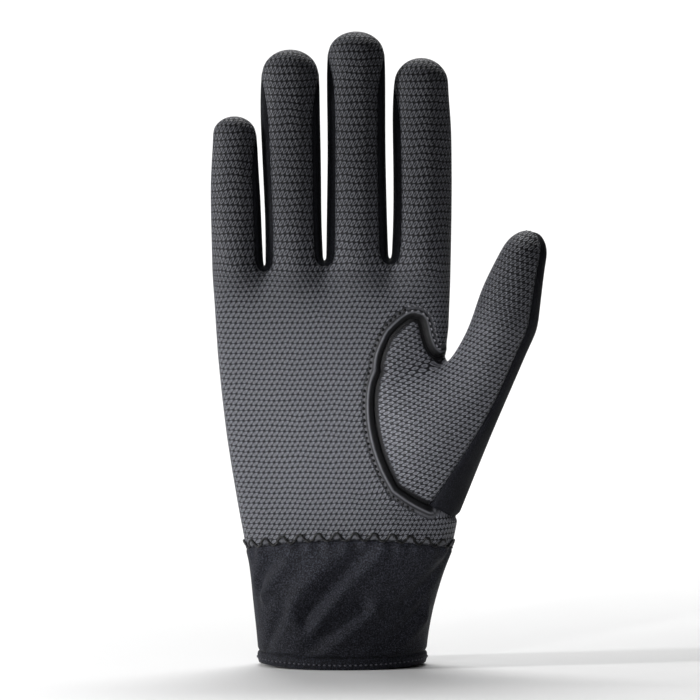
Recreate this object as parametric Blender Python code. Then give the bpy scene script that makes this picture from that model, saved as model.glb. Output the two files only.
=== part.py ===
"""Athletic riding glove for the right hand, standing on its cuff with the palm to the front.

Frame: metres, +Z up to the fingertips, -Y out of the palm, +X to the thumb's side.
The origin is the middle of the cuff's opening, at the hem's lowest edge.
The outer surface is worked out as one skin of panels that share their seams. Each panel is
then drawn back from its seams and thickened inwards, so every panel is its own wall.
"""

import bmesh
import bpy
import numpy as np
from mathutils import Vector

# Driving sizes, in metres
CUFF_LENGTH = 0.0437
HAND_LENGTH = 0.1050
PALM_WIDTH = 0.0890
PALM_DEPTH = 0.0250
LITTLE_LENGTH = 0.0577
RING_LENGTH = 0.0807
MIDDLE_LENGTH = 0.0866
INDEX_LENGTH = 0.0767
THUMB_LENGTH = 0.0570
FINGER_DEPTH = 0.0186
HEM_HEIGHT = 0.0043
HEM_THICKNESS = 0.0022
HEM_BULGE = 0.0004
HEM_RISE = 0.0014
SEAM_ARCH = 0.0038
SEAM_GAP = 0.0003
PANEL_THICKNESS = 0.0013
CROTCH_RISE = 0.0042
CROTCH_ROUND = 0.0080
KNUCKLE_BLEND = 0.0170
FOURCHETTE_TAPER = 0.0120
ROLL_HEIGHT = 0.0013
ROLL_WIDTH = 0.0046
MOUTH_REACH = 0.0160
PALM_HOLLOW = 0.0014
FOLD_DEPTH = 0.0011
WELD = 0.000001
CORNER_LIMIT = 0.5
RIM_TWIST = SEAM_GAP / 8

# Angles round the hand and the fingers, in degrees
SIDE_ANGLE = 110.0
FOURCHETTE_ANGLE = 40.0
OUTER_WRAP = 20.0
TIP_SEAM_ANGLE = 104.0
ROLL_FADE = 18.0

OVAL_POWER = 0.8
SLIDE_POWER = 4.0
TAPER_POWER = 0.7
FOLD_FADE_POWER = 0.5

# Grid counts
LOW_ROWS = 4
HOLE_ROWS = 8
HIGH_ROWS = 6
CROTCH_ROWS = 3
FRONT_TIP_ROWS = 4
BACK_TIP_ROWS = 3
FOURCHETTE_COLUMNS = 4
CUFF_ROWS = 8
HEM_ROWS = 3
THUMB_TIP_ROWS = 4
ROLL_STEPS = 4
MOUTH_ROUNDS = 6

PANELS = {
    "palm_panel": ((0.030, 0.031, 0.036), 0.55, PANEL_THICKNESS),
    "back_panel": ((0.016, 0.016, 0.018), 0.80, PANEL_THICKNESS),
    "fourchette_little_ring": ((0.014, 0.014, 0.016), 0.75, PANEL_THICKNESS),
    "fourchette_ring_middle": ((0.014, 0.014, 0.016), 0.75, PANEL_THICKNESS),
    "fourchette_middle_index": ((0.014, 0.014, 0.016), 0.75, PANEL_THICKNESS),
    "thumb_panel": ((0.028, 0.029, 0.034), 0.55, PANEL_THICKNESS),
    "thumb_back": ((0.014, 0.014, 0.016), 0.75, PANEL_THICKNESS),
    "cuff": ((0.012, 0.012, 0.014), 0.70, PANEL_THICKNESS),
    "cuff_hem": ((0.014, 0.014, 0.016), 0.70, HEM_THICKNESS),
}
PANEL_NAMES = list(PANELS)


def table(columns, rows):
    """A table with a row for each section and a named column for each measure."""
    return dict(zip(columns.split(), np.array(rows, dtype=float).T))


# Heights as shares of CUFF_LENGTH, edges of PALM_WIDTH and depths of PALM_DEPTH
CUFF_SECTIONS = table("height left right front back", (
    (0.00, -0.353, 0.351, 0.900, 0.900),
    (0.18, -0.358, 0.356, 0.888, 0.888),
    (0.41, -0.370, 0.374, 0.864, 0.864),
    (0.57, -0.379, 0.394, 0.840, 0.840),
    (0.75, -0.387, 0.420, 0.820, 0.820),
    (0.90, -0.398, 0.448, 0.802, 0.800),
))

# Heights as shares of HAND_LENGTH, edges of PALM_WIDTH and depths of PALM_DEPTH
HAND_SECTIONS = table("height left right front back", (
    (0.00, -0.406, 0.463, 0.786, 0.784),
    (0.11, -0.433, 0.494, 0.732, 0.712),
    (0.25, -0.461, 0.504, 0.680, 0.640),
    (0.39, -0.487, 0.490, 0.636, 0.584),
    (0.54, -0.508, 0.466, 0.600, 0.552),
    (0.68, -0.525, 0.449, 0.568, 0.524),
    (0.87, -0.540, 0.449, 0.532, 0.500),
    (1.00, -0.548, 0.452, 0.504, 0.480),
))

# Heights as shares of the finger's straight stretch, edges of PALM_WIDTH
FINGER_EDGES = {
    "little": table("height left right", (
        (0.00, -0.549, -0.329), (0.31, -0.553, -0.337), (0.53, -0.556, -0.341),
        (0.75, -0.554, -0.350), (1.00, -0.546, -0.357))),
    "ring": table("height left right", (
        (0.00, -0.326, -0.079), (0.20, -0.325, -0.088), (0.51, -0.337, -0.088),
        (0.82, -0.348, -0.094), (1.00, -0.342, -0.097))),
    "middle": table("height left right", (
        (0.00, -0.073, 0.193), (0.17, -0.071, 0.187), (0.56, -0.066, 0.179),
        (0.85, -0.070, 0.179), (1.00, -0.067, 0.176))),
    "index": table("height left right", (
        (0.00, 0.199, 0.452), (0.20, 0.207, 0.455), (0.50, 0.208, 0.457),
        (0.81, 0.203, 0.453), (1.00, 0.209, 0.442))),
}
FINGERS = {
    "little": dict(length=LITTLE_LENGTH, tip=0.446, slim=0.86, front=6, back=6, rows=4),
    "ring": dict(length=RING_LENGTH, tip=0.459, slim=0.98, front=6, back=6, rows=5),
    "middle": dict(length=MIDDLE_LENGTH, tip=0.430, slim=1.00, front=6, back=6, rows=6),
    "index": dict(length=INDEX_LENGTH, tip=0.507, slim=0.98, front=8, back=8, rows=5),
}
FINGER_NAMES = list(FINGERS)

# Half depths as shares of FINGER_DEPTH, the lean to the palm of PALM_DEPTH
FINGER_PROFILE = table("height depth lean", (
    (0.00, 0.660, 0.000), (0.08, 0.636, 0.001), (0.22, 0.580, 0.006), (0.42, 0.530, 0.020),
    (0.68, 0.490, 0.048), (1.00, 0.430, 0.100)))
SLIM_FROM = 0.2

# The line between two fingers: its place as a share of PALM_WIDTH, height of HAND_LENGTH
BORDERS = table("across height", (
    (-0.549, 0.979), (-0.328, 0.979), (-0.0775, 0.997), (0.1955, 1.004), (0.452, 1.004)))

# Edge of the thumb's opening in the palm: angles in degrees, heights of HAND_LENGTH
HOLE_BOTTOM = table("angle height", (
    (23.6, 0.211), (32.0, 0.172), (44.0, 0.138), (62.0, 0.112), (88.0, 0.108),
    (110.0, 0.108)))
HOLE_LEFT = table("angle height", (
    (23.6, 0.211), (19.4, 0.262), (16.9, 0.324), (15.1, 0.398), (15.1, 0.479),
    (16.8, 0.563), (19.6, 0.630), (23.6, 0.697), (28.9, 0.757)))
HOLE_TOP = table("angle height", (
    (28.9, 0.757), (37.0, 0.802), (48.3, 0.835), (49.9, 0.782), (52.2, 0.722),
    (56.8, 0.683), (65.3, 0.659), (84.0, 0.676), (110.0, 0.700)))
NOTCH_POINT = 2
NOTCH_ROWS = 4
NOTCH_COLUMNS = 4
NOTCH_SAG = 0.020
HOLE_FOOT_ANGLE = 22.4

# The palm's hollow: half width as a share of PALM_WIDTH, the others of HAND_LENGTH
HOLLOW = dict(half_width=0.28, height=0.55, half_length=0.30)

# Places of the lines along the hand, as shares of each stretch
LOW_SHARES = (0.00, 0.42, 0.78, 0.90, 1.00)
HIGH_SHARES = (0.00, 0.085, 0.17, 0.34, 0.55, 0.78, 1.00)

# Places of the columns across the front, left of the thumb's opening, and across the back
FRONT_LOW_SHARES = (
    0.000, 0.078, 0.156, 0.234, 0.312, 0.390, 0.450,
    0.505, 0.560, 0.615, 0.670, 0.725, 0.780,
    0.830, 0.880, 0.925, 0.956, 0.980, 1.000)
FRONT_TOP_SHARES = (
    0.000, 0.090, 0.180, 0.270, 0.360, 0.450, 0.540,
    0.578, 0.615, 0.653, 0.690, 0.728, 0.765,
    0.804, 0.843, 0.883, 0.922, 0.961, 1.000)
BACK_BREAKS = (0.0, 0.25, 0.475, 0.708, 1.0)

# Thumb sections from the web: ends as shares of THUMB_LENGTH, depth and lean of PALM_DEPTH
THUMB_SECTIONS = table("left_x left_z right_x right_z lean depth", (
    (0.006, -0.020, 0.377, -0.266, -0.180, 0.500),
    (0.065, 0.104, 0.455, -0.084, -0.210, 0.490),
    (0.123, 0.195, 0.526, 0.084, -0.240, 0.478),
    (0.156, 0.292, 0.578, 0.188, -0.260, 0.464),
    (0.195, 0.416, 0.591, 0.312, -0.272, 0.440),
    (0.240, 0.526, 0.604, 0.429, -0.280, 0.416),
    (0.325, 0.689, 0.624, 0.604, -0.288, 0.360)))
THUMB_TIP = dict(x=0.546, z=0.838, lean=-0.22)
WEB = dict(across=0.441, height=0.666)

# Round the thumb: 0 faces away from the palm's middle, 90 to the front
THUMB_BOTTOM_ANGLES = (-20.0, 2.0, 23.0, 44.0, 57.0, 70.0)
THUMB_LEFT_END = 146.0
THUMB_NOTCH_END = 182.0
THUMB_TOP_END = 204.0
THUMB_SEAM_STEP = 3
THUMB_ROOT_SHARES = (0.00, 0.15, 0.33, 0.54, 0.77, 1.00)
THUMB_LIFT = 0.45
THUMB_PULL = 0.9

# Cuff folds: where each starts and ends, heights as shares of CUFF_LENGTH
CUFF_FOLDS = table("angle_from height_from angle_to height_to depth", (
    (-26.0, 0.42, 8.0, 0.98, 1.00),
    (-28.0, 0.10, 10.0, 0.52, 0.80),
    (-80.0, 0.70, -48.0, 0.95, 0.90),
    (22.0, 0.14, 60.0, 0.50, 0.75),
    (40.0, 0.55, 78.0, 0.92, 0.70),
    (150.0, 0.30, 205.0, 0.80, 0.80),
    (215.0, 0.25, 250.0, 0.70, 0.70)))
FOLD_WIDTH = 0.0042

LOW_END = LOW_ROWS
HOLE_END = LOW_ROWS + HOLE_ROWS
HAND_ROWS = LOW_ROWS + HOLE_ROWS + HIGH_ROWS


def smooth(share):
    """An ease from 0 to 1 that starts and ends level: 3 t^2 - 2 t^3."""
    share = np.clip(share, 0.0, 1.0)
    return share * share * (3.0 - 2.0 * share)


def mix(first, second, share):
    return first + (second - first) * share


def along(points, count):
    """Spreads count steps evenly along a line of (angle, height) rows on the hand."""
    steps = np.linalg.norm(np.diff(body_point(points[:, 0], points[:, 1]), axis=0), axis=1)
    reach = np.concatenate(((0.0,), np.cumsum(steps)))
    wanted = np.linspace(0.0, reach[-1], count + 1)
    return np.stack([np.interp(wanted, reach, column) for column in points.T], axis=-1)


def hand_height(share):
    return CUFF_LENGTH + HAND_LENGTH * np.asarray(share, dtype=float)


BODY_HEIGHTS = np.concatenate(
    (CUFF_LENGTH * CUFF_SECTIONS["height"], hand_height(HAND_SECTIONS["height"])))
BODY_COLUMNS = {
    name: np.concatenate((CUFF_SECTIONS[name], HAND_SECTIONS[name]))
    for name in ("left", "right", "front", "back")}


def body_size(name, height, unit):
    return unit * np.interp(height, BODY_HEIGHTS, BODY_COLUMNS[name])


def body_point(angle, height):
    """The hand's oval: 0 degrees is the palm's middle, 90 the thumb's side, 180 the back."""
    angle, height = np.broadcast_arrays(np.asarray(angle, float), np.asarray(height, float))
    left = body_size("left", height, PALM_WIDTH)
    right = body_size("right", height, PALM_WIDTH)
    turn = np.radians(angle)
    facing = np.cos(turn)
    depth = np.where(facing > 0.0, body_size("front", height, PALM_DEPTH),
                     body_size("back", height, PALM_DEPTH))
    x = (left + right) / 2 + (right - left) / 2 * np.sin(turn)
    y = -depth * np.sign(facing) * np.abs(facing) ** OVAL_POWER
    hollow_x = x / (HOLLOW["half_width"] * PALM_WIDTH)
    hollow_z = (height - hand_height(HOLLOW["height"])) / (HOLLOW["half_length"] * HAND_LENGTH)
    y = y + PALM_HOLLOW * np.exp(-hollow_x ** 2 - hollow_z ** 2) * (facing > 0.0)
    return np.stack((x, y, height), axis=-1)


def seam_height(angle):
    """The cuff's seam rises as an arch over the middle of the palm and of the back."""
    return CUFF_LENGTH + SEAM_ARCH * np.cos(np.radians(angle)) ** 2


def hem_height(angle):
    """The hem's lower edge is lowest at the front and back and rises at the sides."""
    return HEM_RISE * np.sin(np.radians(angle)) ** 2


def finger_frame(name, height):
    """Middle, half width, half depth and lean of a finger at a height above its root."""
    finger, edges = FINGERS[name], FINGER_EDGES[name]
    share = (height - finger_root(name)) / (dome_height(name) - finger_root(name))
    left = PALM_WIDTH * np.interp(share, edges["height"], edges["left"])
    right = PALM_WIDTH * np.interp(share, edges["height"], edges["right"])
    slim = mix(1.0, finger["slim"], smooth(share / SLIM_FROM))
    depth = FINGER_DEPTH * np.interp(share, FINGER_PROFILE["height"], FINGER_PROFILE["depth"])
    lean = -PALM_DEPTH * np.interp(share, FINGER_PROFILE["height"], FINGER_PROFILE["lean"])
    return (left + right) / 2, (right - left) / 2, depth * slim, lean


def finger_root(name):
    """The higher of a finger's two crotches, above which it is free on both sides."""
    place = FINGER_NAMES.index(name)
    return hand_height(BORDERS["height"][place:place + 2].max())


def tip_rise(name):
    edges = FINGER_EDGES[name]
    return FINGERS[name]["tip"] * PALM_WIDTH * (edges["right"][-1] - edges["left"][-1])


def dome_height(name):
    return finger_root(name) + FINGERS[name]["length"] - tip_rise(name)


def seam_rows(name, border):
    """Heights along a finger's seam, from the crotch up, and how far each slides to it."""
    bend = np.radians(np.linspace(90.0, 0.0, CROTCH_ROWS + 1))
    crotch = hand_height(BORDERS["height"][border])
    heights = crotch + CROTCH_RISE * (1.0 - np.sin(bend))
    straight = np.linspace(heights[-1], dome_height(name), FINGERS[name]["rows"] + 1)
    slide = np.concatenate((1.0 - np.cos(bend), np.zeros(FINGERS[name]["rows"])))
    turn = np.concatenate((bend, np.zeros(FINGERS[name]["rows"])))
    return np.concatenate((heights, straight[1:])), slide, turn


def side_opening(name, height, widest):
    """Half angle of a side strip: full on the finger and closing to a point at the tip."""
    share = np.clip((dome_height(name) - height) / FOURCHETTE_TAPER, 0.0, 1.0)
    return widest * np.sin(np.pi / 2 * share) ** TAPER_POWER


def finger_side(name, on_right):
    """Which border a finger's side is on, and whether it is an outer side of the hand."""
    place = FINGER_NAMES.index(name)
    border = place + 1 if on_right else place
    outer = border in (0, len(FINGER_NAMES))
    return border, outer


def finger_sheet(name, back):
    """The straight part of a finger's front or back: x = c + a cos t, y = l - b sin t."""
    columns = FINGERS[name]["back" if back else "front"]
    share = np.linspace(0.0, 1.0, columns + 1)
    left_border, left_outer = finger_side(name, False)
    right_border, right_outer = finger_side(name, True)
    left_heights, left_slide, _ = seam_rows(name, left_border)
    right_heights, right_slide, _ = seam_rows(name, right_border)
    left_open = side_opening(name, left_heights, -OUTER_WRAP if left_outer else FOURCHETTE_ANGLE)
    right_open = side_opening(
        name, right_heights, -OUTER_WRAP if right_outer else FOURCHETTE_ANGLE)
    if back:
        angle = mix(180.0 + abs(left_open)[:, None], 360.0 - abs(right_open)[:, None], share)
    else:
        angle = mix(180.0 - left_open[:, None], right_open[:, None], share)
    height = mix(left_heights[:, None], right_heights[:, None], share)
    middle, half, depth, lean = finger_frame(name, height)
    turn = np.radians(angle)
    across, edge = np.cos(turn), np.cos(np.radians(FOURCHETTE_ANGLE))
    x = middle + half * across
    for border, slide, sign, outer in (
            (left_border, left_slide, -1.0, left_outer),
            (right_border, right_slide, 1.0, right_outer)):
        if not outer:
            reach = BORDERS["across"][border] * PALM_WIDTH - (middle + sign * half * edge)
            weight = np.clip(sign * across / edge, 0.0, 1.0) ** SLIDE_POWER
            x = x + reach * slide[:, None] * weight
    return np.stack((x, lean - depth * np.sin(turn), height), axis=-1)


def finger_tip(name, back):
    """Half a dome: (y, z) = (-b cos p, c sin p) sin t round the finger's side poles."""
    columns = FINGERS[name]["back" if back else "front"]
    across = np.radians(np.linspace(180.0, 0.0, columns + 1))
    if back:
        rise = np.radians(np.linspace(180.0, TIP_SEAM_ANGLE, BACK_TIP_ROWS + 1))[:, None]
    else:
        rise = np.radians(np.linspace(0.0, TIP_SEAM_ANGLE, FRONT_TIP_ROWS + 1))[:, None]
    start = dome_height(name)
    middle, half, depth, lean = finger_frame(name, start)
    x = middle + half * np.cos(across) + 0.0 * rise
    y = lean - depth * np.cos(rise) * np.sin(across)
    z = start + tip_rise(name) * np.sin(rise) * np.sin(across)
    return np.stack((x, y, z), axis=-1)


def fourchette_sheet(left_name, right_name):
    """A strip from one fingertip down into the crotch and up the next finger."""
    halves = []
    for name, on_right in ((left_name, True), (right_name, False)):
        border = finger_side(name, on_right)[0]
        heights, slide, bend = seam_rows(name, border)
        open_angle = side_opening(name, heights, FOURCHETTE_ANGLE)
        middle, half, depth, lean = finger_frame(name, heights)
        sign = 1.0 if on_right else -1.0
        edge = np.cos(np.radians(open_angle))
        seam_x = middle + sign * half * edge
        full_edge = np.cos(np.radians(FOURCHETTE_ANGLE))
        reach = BORDERS["across"][border] * PALM_WIDTH - (middle + sign * half * full_edge)
        seam_x = seam_x + reach * slide
        turn = np.radians(mix(open_angle[:, None], -open_angle[:, None],
                              np.linspace(0.0, 1.0, FOURCHETTE_COLUMNS + 1)))
        round_size = mix(half, CROTCH_ROUND, slide)
        bulge = round_size[:, None] * (np.cos(turn) - edge[:, None])
        x = seam_x[:, None] + sign * np.cos(bend)[:, None] * bulge
        z = heights[:, None] + np.sin(bend)[:, None] * bulge
        y = lean[:, None] - depth[:, None] * np.sin(turn)
        halves.append(np.stack((x, y, z), axis=-1))
    return np.concatenate((halves[0][::-1], halves[1][1:]), axis=0)


def border_line():
    """Angle and height of the line from the cuff's seam, along the opening, to the crotch."""
    low = np.array(LOW_SHARES)
    foot = seam_height(HOLE_FOOT_ANGLE)
    left = along(hole_edge(HOLE_LEFT), HOLE_ROWS)
    high = np.array(HIGH_SHARES)
    crotch = FINGER_NAMES.index("index")
    angles = np.concatenate((
        mix(HOLE_FOOT_ANGLE, left[0, 0], low)[:-1], left[:, 0],
        mix(left[-1, 0], border_angle(crotch), 1.0 - (1.0 - high) ** 2)[1:]))
    heights = np.concatenate((
        mix(foot, left[0, 1], low)[:-1], left[:, 1],
        mix(left[-1, 1], hand_height(BORDERS["height"][crotch]), high)[1:]))
    return angles, heights


def border_angle(place):
    """The angle on the hand's oval under a border between two fingers."""
    height = hand_height(BORDERS["height"][place])
    left = body_size("left", height, PALM_WIDTH)
    right = body_size("right", height, PALM_WIDTH)
    across = (BORDERS["across"][place] * PALM_WIDTH - (left + right) / 2) * 2 / (right - left)
    return np.degrees(np.arcsin(across))


def side_heights():
    """Heights of the hand's lines at its left side and at its thumb side."""
    _, heights = border_line()
    share = (heights - heights[0]) / (heights[-1] - heights[0])
    left = mix(seam_height(-SIDE_ANGLE), hand_height(BORDERS["height"][0]), share)
    right = np.concatenate((
        mix(seam_height(SIDE_ANGLE), hand_height(HOLE_BOTTOM["height"][-1]),
            np.array(LOW_SHARES))[:-1],
        hand_height(mix(HOLE_BOTTOM["height"][-1], HOLE_TOP["height"][-1],
                        np.linspace(0.0, 1.0, HOLE_ROWS + 1))),
        mix(hand_height(HOLE_TOP["height"][-1]), hand_height(BORDERS["height"][-1]),
            np.array(HIGH_SHARES))[1:]))
    return left, right, share


def coons(bottom, top, left, right, rise):
    """A patch of (angle, height) between four edge lines that share their corners."""
    across = np.linspace(0.0, 1.0, len(bottom))[None, :, None]
    rise = np.asarray(rise)[:, None, None]
    between = mix(bottom[None], top[None], rise) + mix(left[:, None], right[:, None], across)
    corners = mix(mix(bottom[0], bottom[-1], across), mix(top[0], top[-1], across), rise)
    return between - corners


def lift_to_skin(patch, finger_row=None):
    """Puts (angle, height) on the hand's oval and lets its top run into the fingers."""
    skin = body_point(patch[..., 0], patch[..., 1])
    if finger_row is not None:
        below = finger_row[None, :, 2] - patch[..., 1]
        weight = 1.0 - smooth(below / KNUCKLE_BLEND)
        straight = np.stack(np.broadcast_arrays(
            finger_row[None, :, 0], finger_row[None, :, 1], patch[..., 1]), axis=-1)
        skin = mix(skin, straight, weight[..., None])
    return skin


def top_row(back):
    """The lowest row of all the fingers' sheets that a front or back runs into."""
    rows = [finger_sheet(name, back)[0] for name in FINGER_NAMES]
    return [rows[0]] + [row[1:] for row in rows[1:]]


def front_left_patch():
    angles, heights = border_line()
    left, _, share = side_heights()
    low, high = np.array(FRONT_LOW_SHARES), np.array(FRONT_TOP_SHARES)
    upper = smooth((share - share[HOLE_END]) / (1.0 - share[HOLE_END]))[:, None]
    across = mix(low[None], high[None], upper)
    angle = mix(-SIDE_ANGLE, angles[:, None], across)
    height = mix(left[:, None], heights[:, None], across)
    row = np.concatenate(top_row(False)[:FINGER_NAMES.index("index")])
    bottom = seam_height(angle[0]) - height[0]
    top = row[:, 2] - height[-1]
    height = height + (1.0 - share[:, None]) ** 2 * bottom + share[:, None] ** 2 * top
    return np.stack((angle, height), axis=-1), row


def hole_edge(edge):
    return np.stack((edge["angle"], hand_height(edge["height"])), axis=-1)


def front_high_patch():
    angles, heights = border_line()
    _, right, _ = side_heights()
    row = finger_sheet("index", False)[0]
    top_angles = np.linspace(angles[-1], SIDE_ANGLE, len(row))
    top = np.stack((top_angles, row[:, 2]), axis=-1)
    left_edge = np.stack((angles, heights), axis=-1)[HOLE_END:]
    right_edge = np.stack((np.full(HAND_ROWS + 1, SIDE_ANGLE), right), axis=-1)[HOLE_END:]
    return coons(hole_edge(HOLE_TOP), top, left_edge, right_edge, HIGH_SHARES), row


def front_low_patch():
    angles, heights = border_line()
    _, right, _ = side_heights()
    count = len(HOLE_BOTTOM["angle"])
    foot = np.linspace(HOLE_FOOT_ANGLE, SIDE_ANGLE, count)
    bottom = np.stack((foot, seam_height(foot)), axis=-1)
    left_edge = np.stack((angles, heights), axis=-1)[:LOW_END + 1]
    right_edge = np.stack((np.full(HAND_ROWS + 1, SIDE_ANGLE), right), axis=-1)[:LOW_END + 1]
    return coons(bottom, hole_edge(HOLE_BOTTOM), left_edge, right_edge, LOW_SHARES)


def back_patch():
    left, right, share = side_heights()
    counts = [FINGERS[name]["back"] for name in FINGER_NAMES]
    pieces = [np.linspace(BACK_BREAKS[place], BACK_BREAKS[place + 1], count + 1)[int(place > 0):]
              for place, count in enumerate(counts)]
    across = np.concatenate(pieces)
    angle = mix(360.0 - SIDE_ANGLE, SIDE_ANGLE, across)[None] + 0.0 * share[:, None]
    height = mix(left[:, None], right[:, None], across[None])
    row = np.concatenate(top_row(True))
    bottom = seam_height(angle[0]) - height[0]
    top = row[:, 2] - height[-1]
    height = height + (1.0 - share[:, None]) ** 2 * bottom + share[:, None] ** 2 * top
    return np.stack((angle, height), axis=-1), row


def rim_parts():
    """The opening's rim as (angle, height): its foot, left, top and hidden back edges."""
    angles, heights = border_line()
    _, right, _ = side_heights()
    left_edge = np.stack((angles, heights), axis=-1)[LOW_END:HOLE_END + 1]
    back_edge = np.stack((np.full(HAND_ROWS + 1, SIDE_ANGLE), right), axis=-1)
    return (hole_edge(HOLE_BOTTOM)[::-1], left_edge, hole_edge(HOLE_TOP),
            back_edge[LOW_END:HOLE_END + 1][::-1])


def notch_patch():
    """The thumb panel's corner, which lies in the palm's notch beside the tongue."""
    _, left, top, _ = rim_parts()
    near = np.concatenate((left[NOTCH_POINT - NOTCH_ROWS - 1:-1], top[:NOTCH_POINT + 1]))
    far = top[NOTCH_POINT + NOTCH_ROWS:NOTCH_POINT - 1:-1]
    across = np.linspace(0.0, 1.0, NOTCH_COLUMNS + 1)[None, :, None]
    patch = mix(near[:, None], far[:, None], across)
    depth = np.linspace(1.0, 0.0, NOTCH_ROWS + 1)[:, None]
    sag = HAND_LENGTH * NOTCH_SAG * 4.0 * across[..., 0] * (1.0 - across[..., 0])
    patch[..., 1] -= sag * depth
    return patch


def thumb_rim():
    """The rim in 3-D with the notch closed off, as the line that the thumb grows from."""
    foot, left, top, back = rim_parts()
    mouth = notch_patch()[0]
    web = top[NOTCH_POINT + NOTCH_ROWS + 1:]
    rim = np.concatenate((foot, left[1:root_columns() + 1], mouth[1:], web, back[1:-1]))
    return body_point(rim[:, 0], rim[:, 1])


def raise_roll(skin, angle):
    """A rounded rib along the opening, h sin^2(pi d / w), which fades out past the side."""
    foot, left, top, _ = rim_parts()
    front = np.concatenate((foot, left[1:], top[1:]))
    front = body_point(front[:, 0], front[:, 1])
    shares = np.arange(ROLL_STEPS) / ROLL_STEPS
    dense = np.concatenate([mix(front[:-1], front[1:], share) for share in shares])
    gap = np.linalg.norm(skin[..., None, :] - dense, axis=-1).min(axis=-1)
    height = ROLL_HEIGHT * np.sin(np.pi * np.clip(gap / ROLL_WIDTH, 0.0, 1.0)) ** 2
    height = height * smooth((SIDE_ANGLE - angle) / ROLL_FADE)
    return skin + outward(skin) * height[..., None]


def outward(skin):
    """The level way out from the hand's upright axis."""
    level = skin * (1.0, 1.0, 0.0)
    return level / np.maximum(np.linalg.norm(level, axis=-1, keepdims=True), WELD)


def thumb_angles():
    bottom = np.array(THUMB_BOTTOM_ANGLES)
    left = np.linspace(bottom[-1], THUMB_LEFT_END, root_columns() + 1)[1:]
    mouth = np.linspace(THUMB_LEFT_END, THUMB_NOTCH_END, NOTCH_COLUMNS + 1)[1:]
    web = np.linspace(THUMB_NOTCH_END, THUMB_TOP_END, web_columns() + 1)[1:]
    back = np.linspace(THUMB_TOP_END, bottom[0] + 360.0, HOLE_ROWS + 1)[1:-1]
    return np.radians(np.concatenate((bottom, left, mouth, web, back)))


def web_columns():
    """Columns of the thumb that start at the tongue's end and the web."""
    return len(HOLE_TOP["angle"]) - 1 - NOTCH_POINT - NOTCH_ROWS


def root_columns():
    """Columns of the thumb that start at the opening's left edge, below the notch."""
    return HOLE_ROWS - (NOTCH_ROWS - NOTCH_POINT)


def thumb_sheet():
    """Rings from the opening's rim, eased into ellipses, to a dome at the thumb's tip."""
    parts, angle, rim = THUMB_SECTIONS, thumb_angles(), thumb_rim()
    web = np.array((WEB["across"] * PALM_WIDTH, 0.0, hand_height(WEB["height"])))
    level = np.zeros_like(parts["left_x"])
    left = web + THUMB_LENGTH * np.stack((parts["left_x"], level, parts["left_z"]), -1)
    right = web + THUMB_LENGTH * np.stack((parts["right_x"], level, parts["right_z"]), -1)
    middle = (left + right) / 2
    middle[:, 1] = PALM_DEPTH * parts["lean"]
    forward = PALM_DEPTH * parts["depth"][:, None] * np.array((0.0, -1.0, 0.0))
    rings = (middle[:, None] + ((right - left) / 2)[:, None] * np.cos(angle)[None, :, None]
             + forward[:, None] * np.sin(angle)[None, :, None])
    climb = np.gradient(middle, axis=0)
    climb = climb / np.linalg.norm(climb, axis=-1, keepdims=True)
    tip = web + THUMB_LENGTH * np.array((THUMB_TIP["x"], 0.0, THUMB_TIP["z"]))
    tip[1] = PALM_DEPTH * THUMB_TIP["lean"]
    rise = np.radians(np.linspace(0.0, 90.0, THUMB_TIP_ROWS + 1))[1:, None, None]
    dome = middle[-1] + (rings[-1] - middle[-1]) * np.cos(rise) + (tip - middle[-1]) * np.sin(rise)
    sheet = np.concatenate((thumb_root(rim, rings[0], climb[0], angle), rings[1:], dome))
    return np.concatenate((sheet, sheet[:, :1]), axis=1)


def thumb_root(rim, ring, climb, angle):
    """Cubic Hermite lines from the rim to the first ring, which leave the palm outwards."""
    share = np.array(THUMB_ROOT_SHARES)[:, None, None]
    span = ring - rim
    reach = np.linalg.norm(span, axis=-1, keepdims=True)
    start = span + np.sin(angle)[:, None] * reach * THUMB_LIFT * np.array((0.0, -1.0, 0.0))
    finish = climb * reach * THUMB_PULL
    return ((2 * share ** 3 - 3 * share ** 2 + 1) * rim
            + (share ** 3 - 2 * share ** 2 + share) * start
            + (3 * share ** 2 - 2 * share ** 3) * ring
            + (share ** 3 - share ** 2) * finish)


def cuff_angles():
    angles, _ = border_line()
    front = mix(-SIDE_ANGLE, angles[0], np.array(FRONT_LOW_SHARES))
    low = np.linspace(angles[0], SIDE_ANGLE, len(HOLE_BOTTOM["angle"]))
    back = back_patch()[0][0, :, 0][::-1]
    return np.concatenate((front, low[1:], back[1:]))


def cuff_sheet(rows, low, high, bulge):
    """A ring of cloth between two heights, with a bulge: r = r0 + b sin(pi t)."""
    angle = cuff_angles()
    share = np.linspace(0.0, 1.0, rows + 1)[:, None]
    height = mix(low(angle)[None], high(angle)[None], share)
    skin = body_point(angle[None], height)
    swell = bulge * np.sin(np.pi * share) + fold_depth(angle[None], height, share)
    return skin + outward(skin) * swell[..., None]


def fold_depth(angle, height, share):
    """Soft diagonal folds: -d exp(-(distance to the fold's line / w)^2)."""
    wide = np.radians(PALM_WIDTH / 2)
    total = np.zeros(np.broadcast(angle, height).shape)
    for row in zip(*CUFF_FOLDS.values()):
        turn = (angle - row[0] + 180.0) % 360.0 - 180.0
        place = np.stack(np.broadcast_arrays(turn * wide, height - row[1] * CUFF_LENGTH), -1)
        run = np.array(((row[2] - row[0]) * wide, (row[3] - row[1]) * CUFF_LENGTH))
        part = np.clip((place @ run) / (run @ run), 0.0, 1.0)
        gap = np.linalg.norm(place - part[..., None] * run, axis=-1)
        total = total - FOLD_DEPTH * row[4] * np.exp(-(gap / FOLD_WIDTH) ** 2)
    return total * np.sin(np.pi * share) ** FOLD_FADE_POWER


def hem_top(angle):
    return hem_height(angle) + HEM_HEIGHT


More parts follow.
